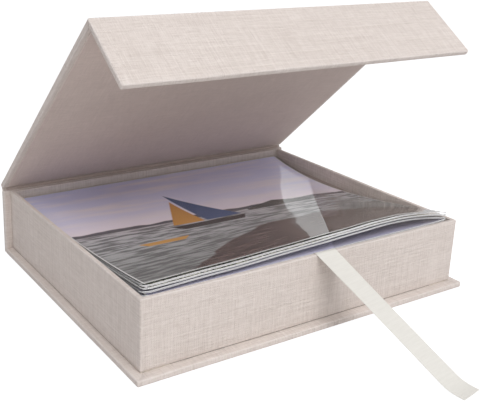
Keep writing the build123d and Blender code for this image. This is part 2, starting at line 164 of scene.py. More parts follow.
# ---------------------------------------------------------------- base
# The grey board under the tray, with book cloth drawn round it: glued to the outside,
# turned over the rounded edges and stuck down as a frame on top, mitred at the corners.
CASE_WIDTH = 0.2796
CASE_THICK = 0.0042
BASE_LENGTH = 0.2248
BASE_MIDDLE_Y = -0.0035
CLOTH_THICK = 0.00055
CASE_TURN_IN = 0.015
EDGE_ROUND = 0.0010
CORNER_ROUND = 0.0011         # seen from above
MITRE_DIP = 0.00025           # the groove along a mitre: its depth,
MITRE_HALF = 0.0006           # half its width,
MITRE_START = 0.0012          # and where it begins, counted from the edge
CLOTH_WAVER = 0.00013         # how far the glued cloth strays from flat
WAVER_PER_METRE = 16
WAVER_SEED = 5                # the noise starts from it, so that every run gives the same cloth
LEAST_CORNER = 0.0003         # what is left of a corner's round inside the cloth
SAME_POINT = 2e-6
RUB_MOST, RUB_SPREAD = 0.85, 0.7              # in the middle of an edge's round, and how it falls off
CUT_SHIFT = 0.31              # sets each piece's threads apart from the next one's
LINEN_PALE = (0.930, 0.842, 0.785, 1)
LINEN_DEEP = (0.695, 0.607, 0.550, 1)
LINEN_RUBBED = (0.90, 0.83, 0.79, 1)
THREAD_PITCH = 0.00056
WEFT_RUN, WARP_RUN = (150, 1700, 40), (1700, 130, 40)        # changes in each metre of cloth
WEFT_SLUB_RUN, WARP_SLUB_RUN = (22, 1000, 20), (1000, 18, 20)
MOTTLE_RUN = (28, 28, 28)


def group_with(name, inputs, outputs):
    """An empty shader node group with named sockets, and its two end nodes."""
    group = bpy.data.node_groups.new(name, "ShaderNodeTree")
    for label, kind, value in inputs:
        socket = group.interface.new_socket(label, in_out="INPUT", socket_type=kind)
        if value is not None:
            socket.default_value = value
    for label, kind in outputs:
        group.interface.new_socket(label, in_out="OUTPUT", socket_type=kind)
    return group, group.nodes.new("NodeGroupInput"), group.nodes.new("NodeGroupOutput")


def calculated(tree, operation, first, second=0.0, third=0.0, clamp=False):
    """A maths node's result."""
    return shader_node(tree, "ShaderNodeMath", {0: first, 1: second, 2: third},
                       operation=operation, use_clamp=clamp).outputs[0]


def stretched_noise(tree, place, scale, detail=2.0, shift=0.0):
    """Noise drawn out by a scale for each direction of the cloth, from 0 to 1."""
    drawn = shader_node(tree, "ShaderNodeVectorMath", {0: place, 1: scale, 2: (shift, shift, shift)},
                        operation="MULTIPLY_ADD")
    return shader_node(tree, "ShaderNodeTexNoise", {
        "Vector": drawn.outputs[0], "Scale": 1.0, "Detail": detail, "Roughness": 0.55}).outputs["Fac"]


def even_noise(tree, scale, detail, distortion=0.0):
    """Noise all through a piece, in so many changes for each metre, from 0 to 1."""
    spot = shader_node(tree, "ShaderNodeTexCoord").outputs["Object"]
    return shader_node(tree, "ShaderNodeTexNoise", {
        "Vector": spot, "Scale": scale, "Detail": detail, "Distortion": distortion}).outputs["Fac"]


def laid_over(tree, mask, under, over):
    """One colour over another, where the mask is 1."""
    return shader_node(tree, "ShaderNodeMix", {0: mask, 6: under, 7: over}, data_type="RGBA").outputs[2]


def raised(tree, height, strength, distance):
    """The normal of a surface raised by a height."""
    return shader_node(tree, "ShaderNodeBump", {
        "Strength": strength, "Distance": distance, "Height": height}).outputs[0]


def surfaced(tree, inputs):
    """Give a material its Principled surface."""
    made = shader_node(tree, "ShaderNodeBsdfPrincipled", inputs)
    shader_node(tree, "ShaderNodeOutputMaterial", {"Surface": made.outputs[0]})


# Linen: thick and thin threads both ways, with slubs, over a fine plain weave.
linen_weave, given, result = group_with(
    "linen_weave",
    [("Place", "NodeSocketVector", None), ("Pitch", "NodeSocketFloat", 0.0006),
     ("Slubs", "NodeSocketFloat", 1.0), ("Mottle", "NodeSocketFloat", 0.3)],
    [("Shade", "NodeSocketFloat"), ("Height", "NodeSocketFloat")],
)
tree = linen_weave
place = given.outputs["Place"]
weft = stretched_noise(tree, place, WEFT_RUN, 3.0)
warp = stretched_noise(tree, place, WARP_RUN, 3.0, 7.3)
weft_slub = stretched_noise(tree, place, WEFT_SLUB_RUN, 1.0, 3.1)
warp_slub = stretched_noise(tree, place, WARP_SLUB_RUN, 1.0, 5.7)
mottled = stretched_noise(tree, place, MOTTLE_RUN, 3.0, 1.9)
parts = shader_node(tree, "ShaderNodeSeparateXYZ", {0: place})
per_thread = calculated(tree, "DIVIDE", math.tau / 2, given.outputs["Pitch"])
over = calculated(tree, "SINE", calculated(tree, "MULTIPLY", parts.outputs["X"], per_thread))
under = calculated(tree, "SINE", calculated(tree, "MULTIPLY", parts.outputs["Y"], per_thread))
plain_weave = calculated(tree, "MULTIPLY", over, under)
threads = calculated(tree, "ADD", weft, warp)
thick_places = calculated(tree, "SUBTRACT", calculated(tree, "ADD", weft_slub, warp_slub), 1.0)
slubs = calculated(tree, "MULTIPLY", thick_places, given.outputs["Slubs"])
blotches = calculated(tree, "MULTIPLY", calculated(tree, "SUBTRACT", mottled, 0.5), given.outputs["Mottle"])
uneven = calculated(tree, "ADD", calculated(tree, "MULTIPLY_ADD", slubs, 0.7, threads), blotches)
shade = calculated(tree, "MULTIPLY_ADD", calculated(tree, "SUBTRACT", uneven, 1.0), 1.0, 0.5, clamp=True)
tree.links.new(calculated(tree, "MULTIPLY_ADD", plain_weave, 0.06, shade), result.inputs["Shade"])
tree.links.new(calculated(tree, "MULTIPLY_ADD", plain_weave, 0.22, uneven), result.inputs["Height"])

# Cloth paler where hands and shelves have rubbed its raised threads along an edge.
rubbed_edge, given, result = group_with(
    "rubbed_edge",
    [("Colour", "NodeSocketColor", None), ("Rubbed", "NodeSocketColor", None),
     ("Edge", "NodeSocketFloat", 0.0), ("Shade", "NodeSocketFloat", 0.5)],
    [("Colour", "NodeSocketColor")],
)
tree = rubbed_edge
bare = calculated(tree, "MULTIPLY_ADD", given.outputs["Shade"], 0.7, 0.15, clamp=True)
worn = calculated(tree, "MULTIPLY", given.outputs["Edge"], bare, clamp=True)
worn_colour = laid_over(tree, worn, given.outputs["Colour"], given.outputs["Rubbed"])
tree.links.new(worn_colour, result.inputs["Colour"])


def woven_material(name, pale, deep, rubbed, pitch, slubs, mottle, bump, sheen):
    """Cloth with a linen weave laid along the piece's own threads."""
    material, tree = bare_material(name)
    cut = shader_node(tree, "ShaderNodeAttribute", attribute_name="weave")
    edge = shader_node(tree, "ShaderNodeAttribute", attribute_name="rub")
    weave = shader_node(tree, "ShaderNodeGroup", node_tree=linen_weave)
    tree.links.new(cut.outputs["Vector"], weave.inputs["Place"])
    weave.inputs["Pitch"].default_value = pitch
    weave.inputs["Slubs"].default_value = slubs
    weave.inputs["Mottle"].default_value = mottle
    wear = shader_node(tree, "ShaderNodeGroup", node_tree=rubbed_edge)
    tree.links.new(laid_over(tree, weave.outputs["Shade"], deep, pale), wear.inputs["Colour"])
    wear.inputs["Rubbed"].default_value = rubbed
    tree.links.new(edge.outputs["Fac"], wear.inputs["Edge"])
    tree.links.new(weave.outputs["Shade"], wear.inputs["Shade"])
    rough = shader_node(tree, "ShaderNodeMapRange", {
        "Value": weave.outputs["Shade"], "To Min": 0.93, "To Max": 0.78})
    surfaced(tree, {
        "Base Color": wear.outputs["Colour"], "Roughness": rough.outputs[0],
        "Normal": raised(tree, weave.outputs["Height"], bump, 0.00035),
        "Sheen Weight": sheen, "Sheen Roughness": 0.6, "Specular IOR Level": 0.25})
    return material


book_cloth = woven_material("book_cloth", LINEN_PALE, LINEN_DEEP, LINEN_RUBBED, THREAD_PITCH,
                            slubs=1.0, mottle=0.25, bump=1.5, sheen=0.12)


def rounded_loop(half_x, half_y, radius, along_x, along_y):
    """Points round a rectangle with rounded corners, and the side that each stretch belongs to."""
    radius = max(min(radius, half_x, half_y), 0.0)
    points, sides = [], []
    for side in range(4):
        out, half, steps = (half_y, half_x, along_x) if side % 2 == 0 else (half_x, half_y, along_y)
        turn = Matrix.Rotation(side * math.pi / 2, 2)
        for step in range(steps + 1):
            points.append(turn @ Vector(((half - radius) * (2 * step / steps - 1), -out)))
            sides.append(side)
        for step in (1, 2):
            angle = step * math.pi / 6
            points.append(turn @ Vector((
                half - radius + radius * math.sin(angle), -out + radius - radius * math.cos(angle))))
            sides.append(side if step == 1 else (side + 1) % 4)
    return points, sides


def add_piece(name, bm, material, sharp=40):
    """The finished mesh as an object of the scene, smooth but for its real folds."""
    bmesh.ops.recalc_face_normals(bm, faces=bm.faces)
    mesh = bpy.data.meshes.new(name)
    bm.to_mesh(mesh)
    bm.free()
    mesh.polygons.foreach_set("use_smooth", [True] * len(mesh.polygons))
    mesh.set_sharp_from_angle(angle=math.radians(sharp))
    mesh.materials.append(material)
    piece = bpy.data.objects.new(name, mesh)
    bpy.context.scene.collection.objects.link(piece)
    return piece


noise.seed_set(WAVER_SEED)


def wavered(x, y, z, seed, amount):
    """A small smooth stray of the glued cloth at a place."""
    at = Vector((x, y, z)) * WAVER_PER_METRE + Vector((seed * 3.7, seed * 1.3, 0))
    return noise.noise_vector(at) * amount


def wrapped_mesh(half_x, half_y, profile, place, seed, along=(36, 30), corner=CORNER_ROUND,
                 closed=False, shape=None, waver=CLOTH_WAVER):
    """A skin drawn through loops. Each entry of the profile is how far the loop is set in
    from the edge, how deep it lies, and how rubbed the cloth is there."""
    bm = bmesh.new()
    weave = bm.loops.layers.float_vector.new("weave")
    rub = bm.loops.layers.float.new("rub")
    rings, past, rubs = [], [], []
    for step, (inset, depth, rubbed) in enumerate(profile):
        round_left = corner - inset if inset < corner else LEAST_CORNER
        loop, sides = rounded_loop(half_x - inset, half_y - inset, round_left, *along)
        if step == 0:
            past.append(-inset)
        else:
            past.append(past[-1] + math.dist(profile[step - 1][:2], (inset, depth)))
        rubs.append(rubbed)
        ring = []
        for spot in loop:
            x, y, z = spot.x, spot.y, depth
            if shape:
                x, y, z = shape(x, y, z, inset)
            ring.append(bm.verts.new(place @ (Vector((x, y, z)) + wavered(x, y, z, seed, waver))))
        rings.append((ring, loop))
    count = len(sides)
    for step in range(len(rings) if closed else len(rings) - 1):
        after = (step + 1) % len(rings)
        for i in range(count):
            j = (i + 1) % count
            corners = ((step, i), (step, j), (after, j), (after, i))
            face = bm.faces.new([rings[k][0][n] for k, n in corners])
            side = sides[i]
            for edge, (k, n) in zip(face.loops, corners):
                spot, over = rings[k][1][n], past[k] if k or not (closed and after == 0) else past[-1]
                if side % 2 == 0:
                    edge[weave] = (spot.x, (half_y + over) * (1 if side == 2 else -1), seed * CUT_SHIFT)
                else:
                    edge[weave] = ((half_x + over) * (1 if side == 1 else -1), spot.y, seed * CUT_SHIFT)
                edge[rub] = rubs[k]
    bmesh.ops.remove_doubles(bm, verts=bm.verts, dist=SAME_POINT)
    return bm


def rounding(radius, start_inset, start_depth, inwards, steps=5):
    """Points of a quarter round between a face and an edge, and how rubbed each is."""
    spots = []
    for step in range(steps + 1):
        angle = step / steps * math.pi / 2
        rubbed = RUB_MOST * math.sin(angle * 2) ** RUB_SPREAD
        little, much = radius * (1 - math.cos(angle)), radius * math.sin(angle)
        if inwards:   # from the edge round to the inner face
            spots.append((start_inset + little, start_depth + much, rubbed))
        else:         # from the outer face round to the edge
            spots.append((start_inset - much, start_depth + little, rubbed))
    return spots


def cloth_round_board(half_x, half_y, thick):
    """The profile of a cloth drawn round a board, out and back through its own thickness."""
    short = min(half_x, half_y)
    outside = [(short * share, 0.0, 0.0) for share in (1.0, 0.75, 0.5, 0.3, 0.17)]
    outside += [(0.0032, 0.0, 0.0), (0.0018, 0.0, 0.05)]
    edge = rounding(EDGE_ROUND, EDGE_ROUND, 0.0, False)
    edge += [(0.0, thick / 2, 0.2)]
    edge += rounding(EDGE_ROUND, 0.0, thick - EDGE_ROUND, True)
    turn_in = [(0.0018, thick, 0.05), (0.0034, thick, 0.0), (0.008, thick, 0.0),
               (CASE_TURN_IN - 0.0002, thick, 0.0), (CASE_TURN_IN, thick - 0.0002, 0.0)]
    back = [(CASE_TURN_IN, thick - CLOTH_THICK, 0.0), (CLOTH_THICK, thick - CLOTH_THICK, 0.0),
            (CLOTH_THICK, thick / 2, 0.0), (CLOTH_THICK, CLOTH_THICK, 0.0),
            (short * 0.5, CLOTH_THICK, 0.0), (short, CLOTH_THICK, 0.0)]
    return outside + edge + turn_in + back


def corner_dips(half_x, half_y, thick):
    """A shape that sinks the turned-in cloth a little along each mitred corner."""
    def shape(x, y, z, inset):
        if z > thick - 0.0001 and MITRE_START < inset < CASE_TURN_IN:
            diagonal = abs((half_x - abs(x)) - (half_y - abs(y)))
            z -= MITRE_DIP * max(0.0, 1 - diagonal / MITRE_HALF)
        return x, y, z
    return shape


def placed(origin, across, along, inwards):
    """A matrix that lays a panel's own axes along three directions."""
    turn = Matrix((across, along, inwards)).transposed().to_4x4()
    return Matrix.Translation(origin) @ turn


def stretched_over(piece, body, nodes):
    """Hand a piece of cloth to its body, in place of its nodes, which are hidden."""
    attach(piece, body)
    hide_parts(*nodes)


ACROSS, ALONG, UP = Vector((1, 0, 0)), Vector((0, 1, 0)), Vector((0, 0, 1))
base_place = placed((0, BASE_MIDDLE_Y, 0), ACROSS, ALONG, UP)
base_half = (CASE_WIDTH / 2, BASE_LENGTH / 2)
base_cloth = add_piece("base_cloth", wrapped_mesh(
    *base_half, cloth_round_board(*base_half, CASE_THICK), base_place, 1,
    shape=corner_dips(*base_half, CASE_THICK)), book_cloth)
stretched_over(base_cloth, "box", ["base_cloth"])

# the grey board inside, pressed from short pulp with darker specks
BOARD_DARK, BOARD_PALE = (0.20, 0.19, 0.17, 1), (0.42, 0.40, 0.37, 1)
grey_board, tree = bare_material("grey_board")
pulp = even_noise(tree, 900.0, 5.0)
surfaced(tree, {"Base Color": laid_over(tree, pulp, BOARD_DARK, BOARD_PALE), "Roughness": 0.9,
                "Normal": raised(tree, pulp, 0.3, 0.0001)})


def finish_node(name, material):
    """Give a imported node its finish."""
    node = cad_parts[name]
    node.data.materials.clear()
    node.data.materials.append(material)


finish_node("base_board", grey_board)


# ---------------------------------------------------------------- linings
# Plainer cloth of the same dye, its colours made darker and redder by painted shade and warm bounce light,
# cut smaller than its board and pasted down flat, so that its edge stands a paper's thickness over the
# turned-in frame.
LINING_THICK = 0.0004
LINING_ROUND = 0.00018
# painted shade and warm bounce light: these lining colours are the book cloth's, made darker and redder
LINING_SHADED_PALE = (0.73, 0.612, 0.555, 1)
LINING_SHADED_DEEP = (0.58, 0.478, 0.430, 1)
LINING_PITCH = 0.00042
LINING_CORNER = 0.0004
LINING_WAVER = 0.00006
FILLER_THICK = 0.0005         # the sheets that fill the frame of turned-in cloth
FILLER_GAP = 0.0001
# the lining material carries that painted shade and bounce light in its colours
lining_cloth = woven_material("lining_cloth", LINING_SHADED_PALE, LINING_SHADED_DEEP, LINEN_RUBBED, LINING_PITCH,
                              slubs=0.5, mottle=0.5, bump=0.35, sheen=0.10)


def pasted_sheet(name, half_x, half_y, thick, place, seed):
    """A thin sheet seen from its outer face, closed all round."""
    short = min(half_x, half_y)
    profile = [(short * share, 0.0, 0.0) for share in (1.0, 0.7, 0.4, 0.2, 0.08)] + [(0.0012, 0.0, 0.0)]
    edge = rounding(LINING_ROUND, LINING_ROUND, 0.0, False, 3)
    profile += [(inset, depth, 0.3) for inset, depth, _ in edge]
    profile += [(0.0, thick, 0.0), (0.0012, thick, 0.0), (short * 0.5, thick, 0.0), (short, thick, 0.0)]
    return add_piece(name, wrapped_mesh(
        half_x, half_y, profile, place, seed, corner=LINING_CORNER, waver=LINING_WAVER), lining_cloth)


def filler_half(length):
    """Half the sheet that fills the frame which the turned-in cloth leaves on a board."""
    return CASE_WIDTH / 2 - CASE_TURN_IN - FILLER_GAP, length / 2 - CASE_TURN_IN - FILLER_GAP


base_inner_sheet = pasted_sheet(
    "base_inner_sheet", *filler_half(BASE_LENGTH), FILLER_THICK,
    placed((0, BASE_MIDDLE_Y, CASE_THICK - 0.00005), ACROSS, ALONG, -UP), 2)
stretched_over(base_inner_sheet, "box", ["base_inner_sheet"])


# ---------------------------------------------------------------- spine
# The narrow board behind the tray, covered like the base and glued to the rear wall.
# The hinge springs from its top edge.
RIM_Z = 0.0532
SPINE_OUT_Y = 0.1131
spine_half = (CASE_WIDTH / 2, RIM_Z / 2)
spine_place = placed((0, SPINE_OUT_Y, RIM_Z / 2), ACROSS, UP, -ALONG)
spine_cloth = add_piece("spine_cloth", wrapped_mesh(
    *spine_half, cloth_round_board(*spine_half, CASE_THICK), spine_place, 3, along=(36, 12),
    shape=corner_dips(*spine_half, CASE_THICK)), book_cloth)
stretched_over(spine_cloth, "box", ["spine_cloth"])
spine_inner_sheet = pasted_sheet(
    "spine_inner_sheet", *filler_half(RIM_Z), FILLER_THICK,
    placed((0, SPINE_OUT_Y - CASE_THICK + 0.00005, RIM_Z / 2), ACROSS, UP, ALONG), 4)
stretched_over(spine_inner_sheet, "box", ["spine_inner_sheet"])
finish_node("spine_board", grey_board)


# ---------------------------------------------------------------- lid
# A board covered like the base, whose lining sheet stops short of its edges. It
# stands open on the hinge, and its front edge is cut back for the flap's fold.
LID_OPEN = math.radians(42)
CREASE = Vector((0, 0.1125, 0.0541))          # the hinge's lower crease
LID_LENGTH = 0.2263
LID_MIDDLE = (-0.11405, 0.0045)               # from the crease, along the closed lid and up
FOLD_ROUND = 0.0010
FOLD_CLEAR = 0.00008          # between the mitred ends of lid and flap, on each side
FOLD_BACK = 0.02              # the cloth behind the mitre gives way over this length
LINING_INSET = 0.0035
FOLD_INSET = 0.0049
lid_back = Vector((0, math.cos(LID_OPEN), -math.sin(LID_OPEN)))
lid_out = Vector((0, math.sin(LID_OPEN), math.cos(LID_OPEN)))


def fold_mitre(half_x, half_y, thick):
    """A shape that cuts the board's end back, behind the round of the fold."""
    dips = corner_dips(half_x, half_y, thick)

    def shape(x, y, z, inset):
        x, y, z = dips(x, y, z, inset)
        if z > FOLD_ROUND + 0.00002:
            near = min(max((y - half_y + FOLD_BACK) / FOLD_BACK, 0.0), 1.0)
            y -= (z + FOLD_CLEAR) * near
        return x, y, z
    return shape


def covered_panel(name, half_x, half_y, place, seed, along):
    """A cloth-covered board that ends in the flap's fold."""
    return add_piece(name, wrapped_mesh(
        half_x, half_y, cloth_round_board(half_x, half_y, CASE_THICK), place, seed, along=along,
        shape=fold_mitre(half_x, half_y, CASE_THICK)), book_cloth)


def lining_half(length):
    """Half a panel's lining, set in more where the fold is."""
    return CASE_WIDTH / 2 - LINING_INSET, (length - LINING_INSET - FOLD_INSET) / 2


def lining_place(panel_place):
    """Where a panel's lining lies: over its inner face, seen from inside."""
    lift = Matrix.Translation((0, (LINING_INSET - FOLD_INSET) / 2, CASE_THICK + LINING_THICK))
    return panel_place @ lift @ Matrix.Diagonal((1, 1, -1, 1))


lid_middle = CREASE + lid_back * LID_MIDDLE[0] + lid_out * LID_MIDDLE[1]
lid_place = placed(lid_middle, ACROSS, -lid_back, -lid_out)
lid_cloth = covered_panel("lid_cloth", CASE_WIDTH / 2, LID_LENGTH / 2, lid_place, 5, (36, 30))
stretched_over(lid_cloth, "lid", ["lid_cloth"])
lid_lining = pasted_sheet("lid_lining", *lining_half(LID_LENGTH), LINING_THICK, lining_place(lid_place), 6)
stretched_over(lid_lining, "lid", ["lid_lining"])
finish_node("lid_board", grey_board)


# ---------------------------------------------------------------- flap
# The lid's front flap: a narrow covered board with two disc magnets let in under its
# lining. One roll of the same cloth joins it to the lid and lets it fold.
FLAP_LEAN = LID_OPEN + math.radians(12)
FOLD_AXIS = CREASE + lid_back * -0.2262 + lid_out * 0.0035
FLAP_LENGTH = 0.0536
ROLL_ROUND = FOLD_ROUND + 0.00004
ROLL_END = 0.0006
ROLL_SIDES = 20
ROLL_STEPS = 12               # on each side of its middle
ROLL_TAPER = ((0.0, 0.15), (0.3, 0.75), (1.0, 1.0))   # along its end, and how round it is there
ROLL_SHIFT = 2.1              # sets its threads apart from the panels'
flap_back = Vector((0, math.cos(FLAP_LEAN), -math.sin(FLAP_LEAN)))
flap_up = Vector((0, math.sin(FLAP_LEAN), math.cos(FLAP_LEAN)))
flap_place = placed(
    FOLD_AXIS - flap_back * FOLD_ROUND + flap_up * (FOLD_ROUND - FLAP_LENGTH / 2), ACROSS, flap_up, flap_back)
flap_cloth = covered_panel("flap_cloth", CASE_WIDTH / 2, FLAP_LENGTH / 2, flap_place, 7, (36, 12))
stretched_over(flap_cloth, "flap", ["flap_cloth"])
flap_lining = pasted_sheet(
    "flap_lining", *lining_half(FLAP_LENGTH), LINING_THICK, lining_place(flap_place), 8)
stretched_over(flap_lining, "flap", ["flap_lining"])
finish_node("flap_board", grey_board)

roll = bmesh.new()
weave = roll.loops.layers.float_vector.new("weave")
rub = roll.loops.layers.float.new("rub")
half_roll = CASE_WIDTH / 2 - EDGE_ROUND * 0.4
stations = [(-half_roll + ROLL_END * along, share) for along, share in ROLL_TAPER]
stations += [(step / ROLL_STEPS * (half_roll - ROLL_END), 1.0) for step in range(1 - ROLL_STEPS, ROLL_STEPS)]
stations += [(-x, share) for x, share in reversed(stations[:3])]
hoops = []
for x, share in stations:
    hoop = []
    for side in range(ROLL_SIDES):
        angle = side * math.tau / ROLL_SIDES
        off = Vector((0, math.cos(angle), math.sin(angle))) * ROLL_ROUND * share
        hoop.append(roll.verts.new(FOLD_AXIS + Vector((x, 0, 0)) + off))
    hoops.append(hoop)
for step in range(len(hoops) - 1):
    for side in range(ROLL_SIDES):
        corners = ((step, side), (step + 1, side), (step + 1, side + 1), (step, side + 1))
        face = roll.faces.new([hoops[k][n % ROLL_SIDES] for k, n in corners])
        for edge, (k, n) in zip(face.loops, corners):
            edge[weave] = (stations[k][0], n * math.tau / ROLL_SIDES * ROLL_ROUND, ROLL_SHIFT)
            edge[rub] = 0.8
roll.faces.new(hoops[0])
roll.faces.new(hoops[-1])
flap_fold = add_piece("flap_hinge_cloth", roll, book_cloth)
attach(flap_fold, "lid")
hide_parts("flap_hinge_cloth")

# the magnets' nickel plate, lightly scuffed
nickel, tree = bare_material("nickel")
scuffs = even_noise(tree, 1400.0, 3.0)
rough = shader_node(tree, "ShaderNodeMapRange", {"Value": scuffs, "To Min": 0.16, "To Max": 0.34})
surfaced(tree, {"Base Color": (0.66, 0.64, 0.60, 1), "Metallic": 1.0, "Roughness": rough.outputs[0]})
finish_node("flap_magnets", nickel)


# ---------------------------------------------------------------- lid hinge
# The lid turns on a narrow strip of bare cloth between two creases: book cloth on the
# outside, carried on from the spine and the lid, and lining glued to it inside.
STRIP_LENGTH = 0.0039
STRIP_ROUND = 0.0006
HINGE_PROUD = 0.00004         # the strip lies this little over spine and lid
HINGE_HALF = CASE_WIDTH / 2 - 0.0005
HINGE_ON_SPINE = 0.0108       # how far it reaches over each board's cloth
HINGE_ON_LID = 0.0085
STRIP_THICK = 0.0005
STRIP_WAVER = 0.00003
STRIP_RUB = 0.35
CREASE_DIP = 0.00025
HINGE_LINING_THICK = 0.0003
upper_crease = CREASE + lid_out * STRIP_LENGTH


def strip_mesh(path, thick, half_x, seed, columns=40, rub_share=0.0):
    """A strip of cloth whose face follows a path of points across the hinge's line, with
    its thickness to the right of the way that the path runs."""
    bm = bmesh.new()
    weave = bm.loops.layers.float_vector.new("weave")
    rub = bm.loops.layers.float.new("rub")
    inner = []
    for i, at in enumerate(path):
        before, after = path[max(i - 1, 0)], path[min(i + 1, len(path) - 1)]
        way = (after - before).normalized()
        inner.append(at + Vector((0, way.z, -way.y)) * thick)
    outline = list(path) + inner[::-1]
    walked = [0.0]
    for i in range(1, len(outline)):
        walked.append(walked[-1] + (outline[i] - outline[i - 1]).length)
    rows = []
    for column in range(columns + 1):
        x = half_x * (2 * column / columns - 1)
        spots = [at + Vector((x, 0, 0)) + wavered(x, at.y, at.z, seed, STRIP_WAVER) for at in outline]
        rows.append([bm.verts.new(spot) for spot in spots])
    count = len(outline)
    for column in range(columns):
        for i in range(count):
            j = (i + 1) % count
            corners = ((column, i), (column + 1, i), (column + 1, j), (column, j))
            face = bm.faces.new([rows[c][k] for c, k in corners])
            for edge, (c, k) in zip(face.loops, corners):
                edge[weave] = (half_x * (2 * c / columns - 1), walked[k], seed * CUT_SHIFT)
                edge[rub] = rub_share
    last = len(path) - 1
    for column in (0, columns):
        for i in range(last):
            bm.faces.new([rows[column][k] for k in (i, i + 1, count - 2 - i, count - 1 - i)])
    return bm


def between(start, end, steps):
    """Places along a straight line, with both its ends."""
    return [start.lerp(end, step / steps) for step in range(steps + 1)]


outside = SPINE_OUT_Y + HINGE_PROUD
dip = Vector((0, outside, CREASE.z - CREASE_DIP))
half_strip = CREASE + lid_out * STRIP_LENGTH / 2 + lid_back * STRIP_ROUND
low_path = between(Vector((0, outside, CREASE.z - HINGE_ON_SPINE)), dip, 6) + between(dip, half_strip, 3)[1:]
low_hinge = add_piece("lid_hinge_cloth_low", strip_mesh(
    low_path[::-1], STRIP_THICK, HINGE_HALF, 9, rub_share=STRIP_RUB), book_cloth)
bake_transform(low_hinge)
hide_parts("lid_hinge_cloth")

high_path = [half_strip, upper_crease + lid_back * STRIP_ROUND]
for step in range(1, 7):
    angle = step / 6 * math.pi / 2
    bend = lid_back * math.cos(angle) + lid_out * math.sin(angle)
    high_path.append(upper_crease + bend * (STRIP_ROUND + HINGE_PROUD * step / 6))
high_path += between(high_path[-1], high_path[-1] - lid_back * HINGE_ON_LID, 5)[1:]
high_hinge = add_piece("lid_hinge_cloth_high", strip_mesh(
    high_path[::-1], STRIP_THICK, HINGE_HALF, 10, rub_share=STRIP_RUB), book_cloth)
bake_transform(high_hinge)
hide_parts("lid_hinge_cloth")

on_spine = Vector((0, 0.1102, RIM_Z + 0.00034))
turn_up = Vector((0, 0.11165, RIM_Z + 0.00042))
inner_foot = CREASE - lid_back * (STRIP_ROUND - 0.00008)
lining_path = between(on_spine, turn_up, 3) + [inner_foot] + between(
    inner_foot, inner_foot + lid_out * (STRIP_LENGTH - HINGE_LINING_THICK), 3)[1:]
hinge_lining = add_piece("lid_hinge_lining", strip_mesh(
    lining_path, HINGE_LINING_THICK, HINGE_HALF - 0.003, 11), lining_cloth)
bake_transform(hinge_lining)
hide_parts("lid_hinge_lining")


# ---------------------------------------------------------------- tray
# Five boards with paper stays round the corners make the tray. One strip of book cloth
# goes round the walls, over the rim and a finger's breadth down inside.
TRAY_HALF = (0.1343, 0.1089)
BASE_TOP = 0.0042
TRAY_WALL = 0.0033
RIM_TURN_IN = 0.012
RIM_OUT_ROUND = 0.0009
RIM_IN_ROUND = 0.0006
RIM_IN_RUB = 0.5
TRAY_FLOOR_Z = 0.0067
TRAY_CORNER = 0.0013
TRAY_WAVER = 0.00016
# the cloth's foot on the base: how far in it lies, how high and how rubbed
CLOTH_FOOT = ((0.0013, 0.0003, 0.0), (0.0006, 0.0004, 0.0), (0.00022, 0.0007, 0.2),
              (0.00004, 0.0012, 0.2), (0.0, 0.0020, 0.0))
WALL_SHARES = (0.15, 0.35, 0.55, 0.75, 0.9, 0.955)
walls = [(inset, BASE_TOP + height, rubbed) for inset, height, rubbed in CLOTH_FOOT]
walls += [(0.0, BASE_TOP + share * (RIM_Z - BASE_TOP), 0.0) for share in WALL_SHARES]
rim_out = rounding(RIM_OUT_ROUND, 0.0, RIM_Z - RIM_OUT_ROUND, True)
rim_in = []
for step in range(5):
    angle = step / 4 * math.pi / 2
    rim_in.append((TRAY_WALL - RIM_IN_ROUND + RIM_IN_ROUND * math.sin(angle),
                   RIM_Z - RIM_IN_ROUND * (1 - math.cos(angle)), RIM_IN_RUB * math.sin(2 * angle)))
cloth_end, cloth_back = RIM_Z - RIM_TURN_IN, TRAY_WALL - CLOTH_THICK
turned_down = [
    (TRAY_WALL, RIM_Z - 0.003, 0.0), (TRAY_WALL, RIM_Z - 0.007, 0.0), (TRAY_WALL, cloth_end + 0.0002, 0.0),
    (TRAY_WALL - 0.0002, cloth_end, 0.0), (cloth_back, cloth_end, 0.0),
    (cloth_back, RIM_Z - CLOTH_THICK, 0.0), (CLOTH_THICK, RIM_Z - CLOTH_THICK, 0.0),
    (CLOTH_FOOT[0][0], BASE_TOP + 0.0005, 0.0)]
tray_cloth = add_piece("tray_cloth", wrapped_mesh(
    *TRAY_HALF, walls + rim_out + rim_in + turned_down, Matrix.Identity(4), 12, along=(48, 40),
    corner=TRAY_CORNER, closed=True, waver=TRAY_WAVER), book_cloth)
stretched_over(tray_cloth, "box", ["tray_cloth"])

LINED_HALF = (0.1310, 0.1056)
LINED_CORNER = 0.0006
WALL_LINING_THICK = 0.0004
WALL_LINING_WAVER = 0.00003
FLOOR_LINING_THICK = 0.00055
lining_top = cloth_end + 0.0003
wall_lining = [(0.0, z, 0.0) for z in (lining_top - 0.0002, 0.030, 0.018, TRAY_FLOOR_Z)]
wall_lining += [(-WALL_LINING_THICK, z, 0.0) for z in (TRAY_FLOOR_Z, 0.020, lining_top)]
wall_lining.append((-0.0001, lining_top, 0.0))
tray_wall_lining = add_piece("tray_wall_lining", wrapped_mesh(
    *LINED_HALF, wall_lining, Matrix.Identity(4), 13, corner=LINED_CORNER, closed=True,
    waver=WALL_LINING_WAVER), lining_cloth)
stretched_over(tray_wall_lining, "box", ["tray_wall_lining"])
tray_floor_lining = pasted_sheet(
    "tray_floor_lining", LINED_HALF[0] - 0.0001, LINED_HALF[1] - 0.0001, FLOOR_LINING_THICK,
    placed((0, 0, TRAY_FLOOR_Z), ACROSS, ALONG, -UP), 14)
stretched_over(tray_floor_lining, "box", ["tray_floor_lining"])
for part in ("floor", "front", "rear", "left", "right"):
    finish_node(f"tray_{part}_board", grey_board)
finish_node("tray_magnets", nickel)

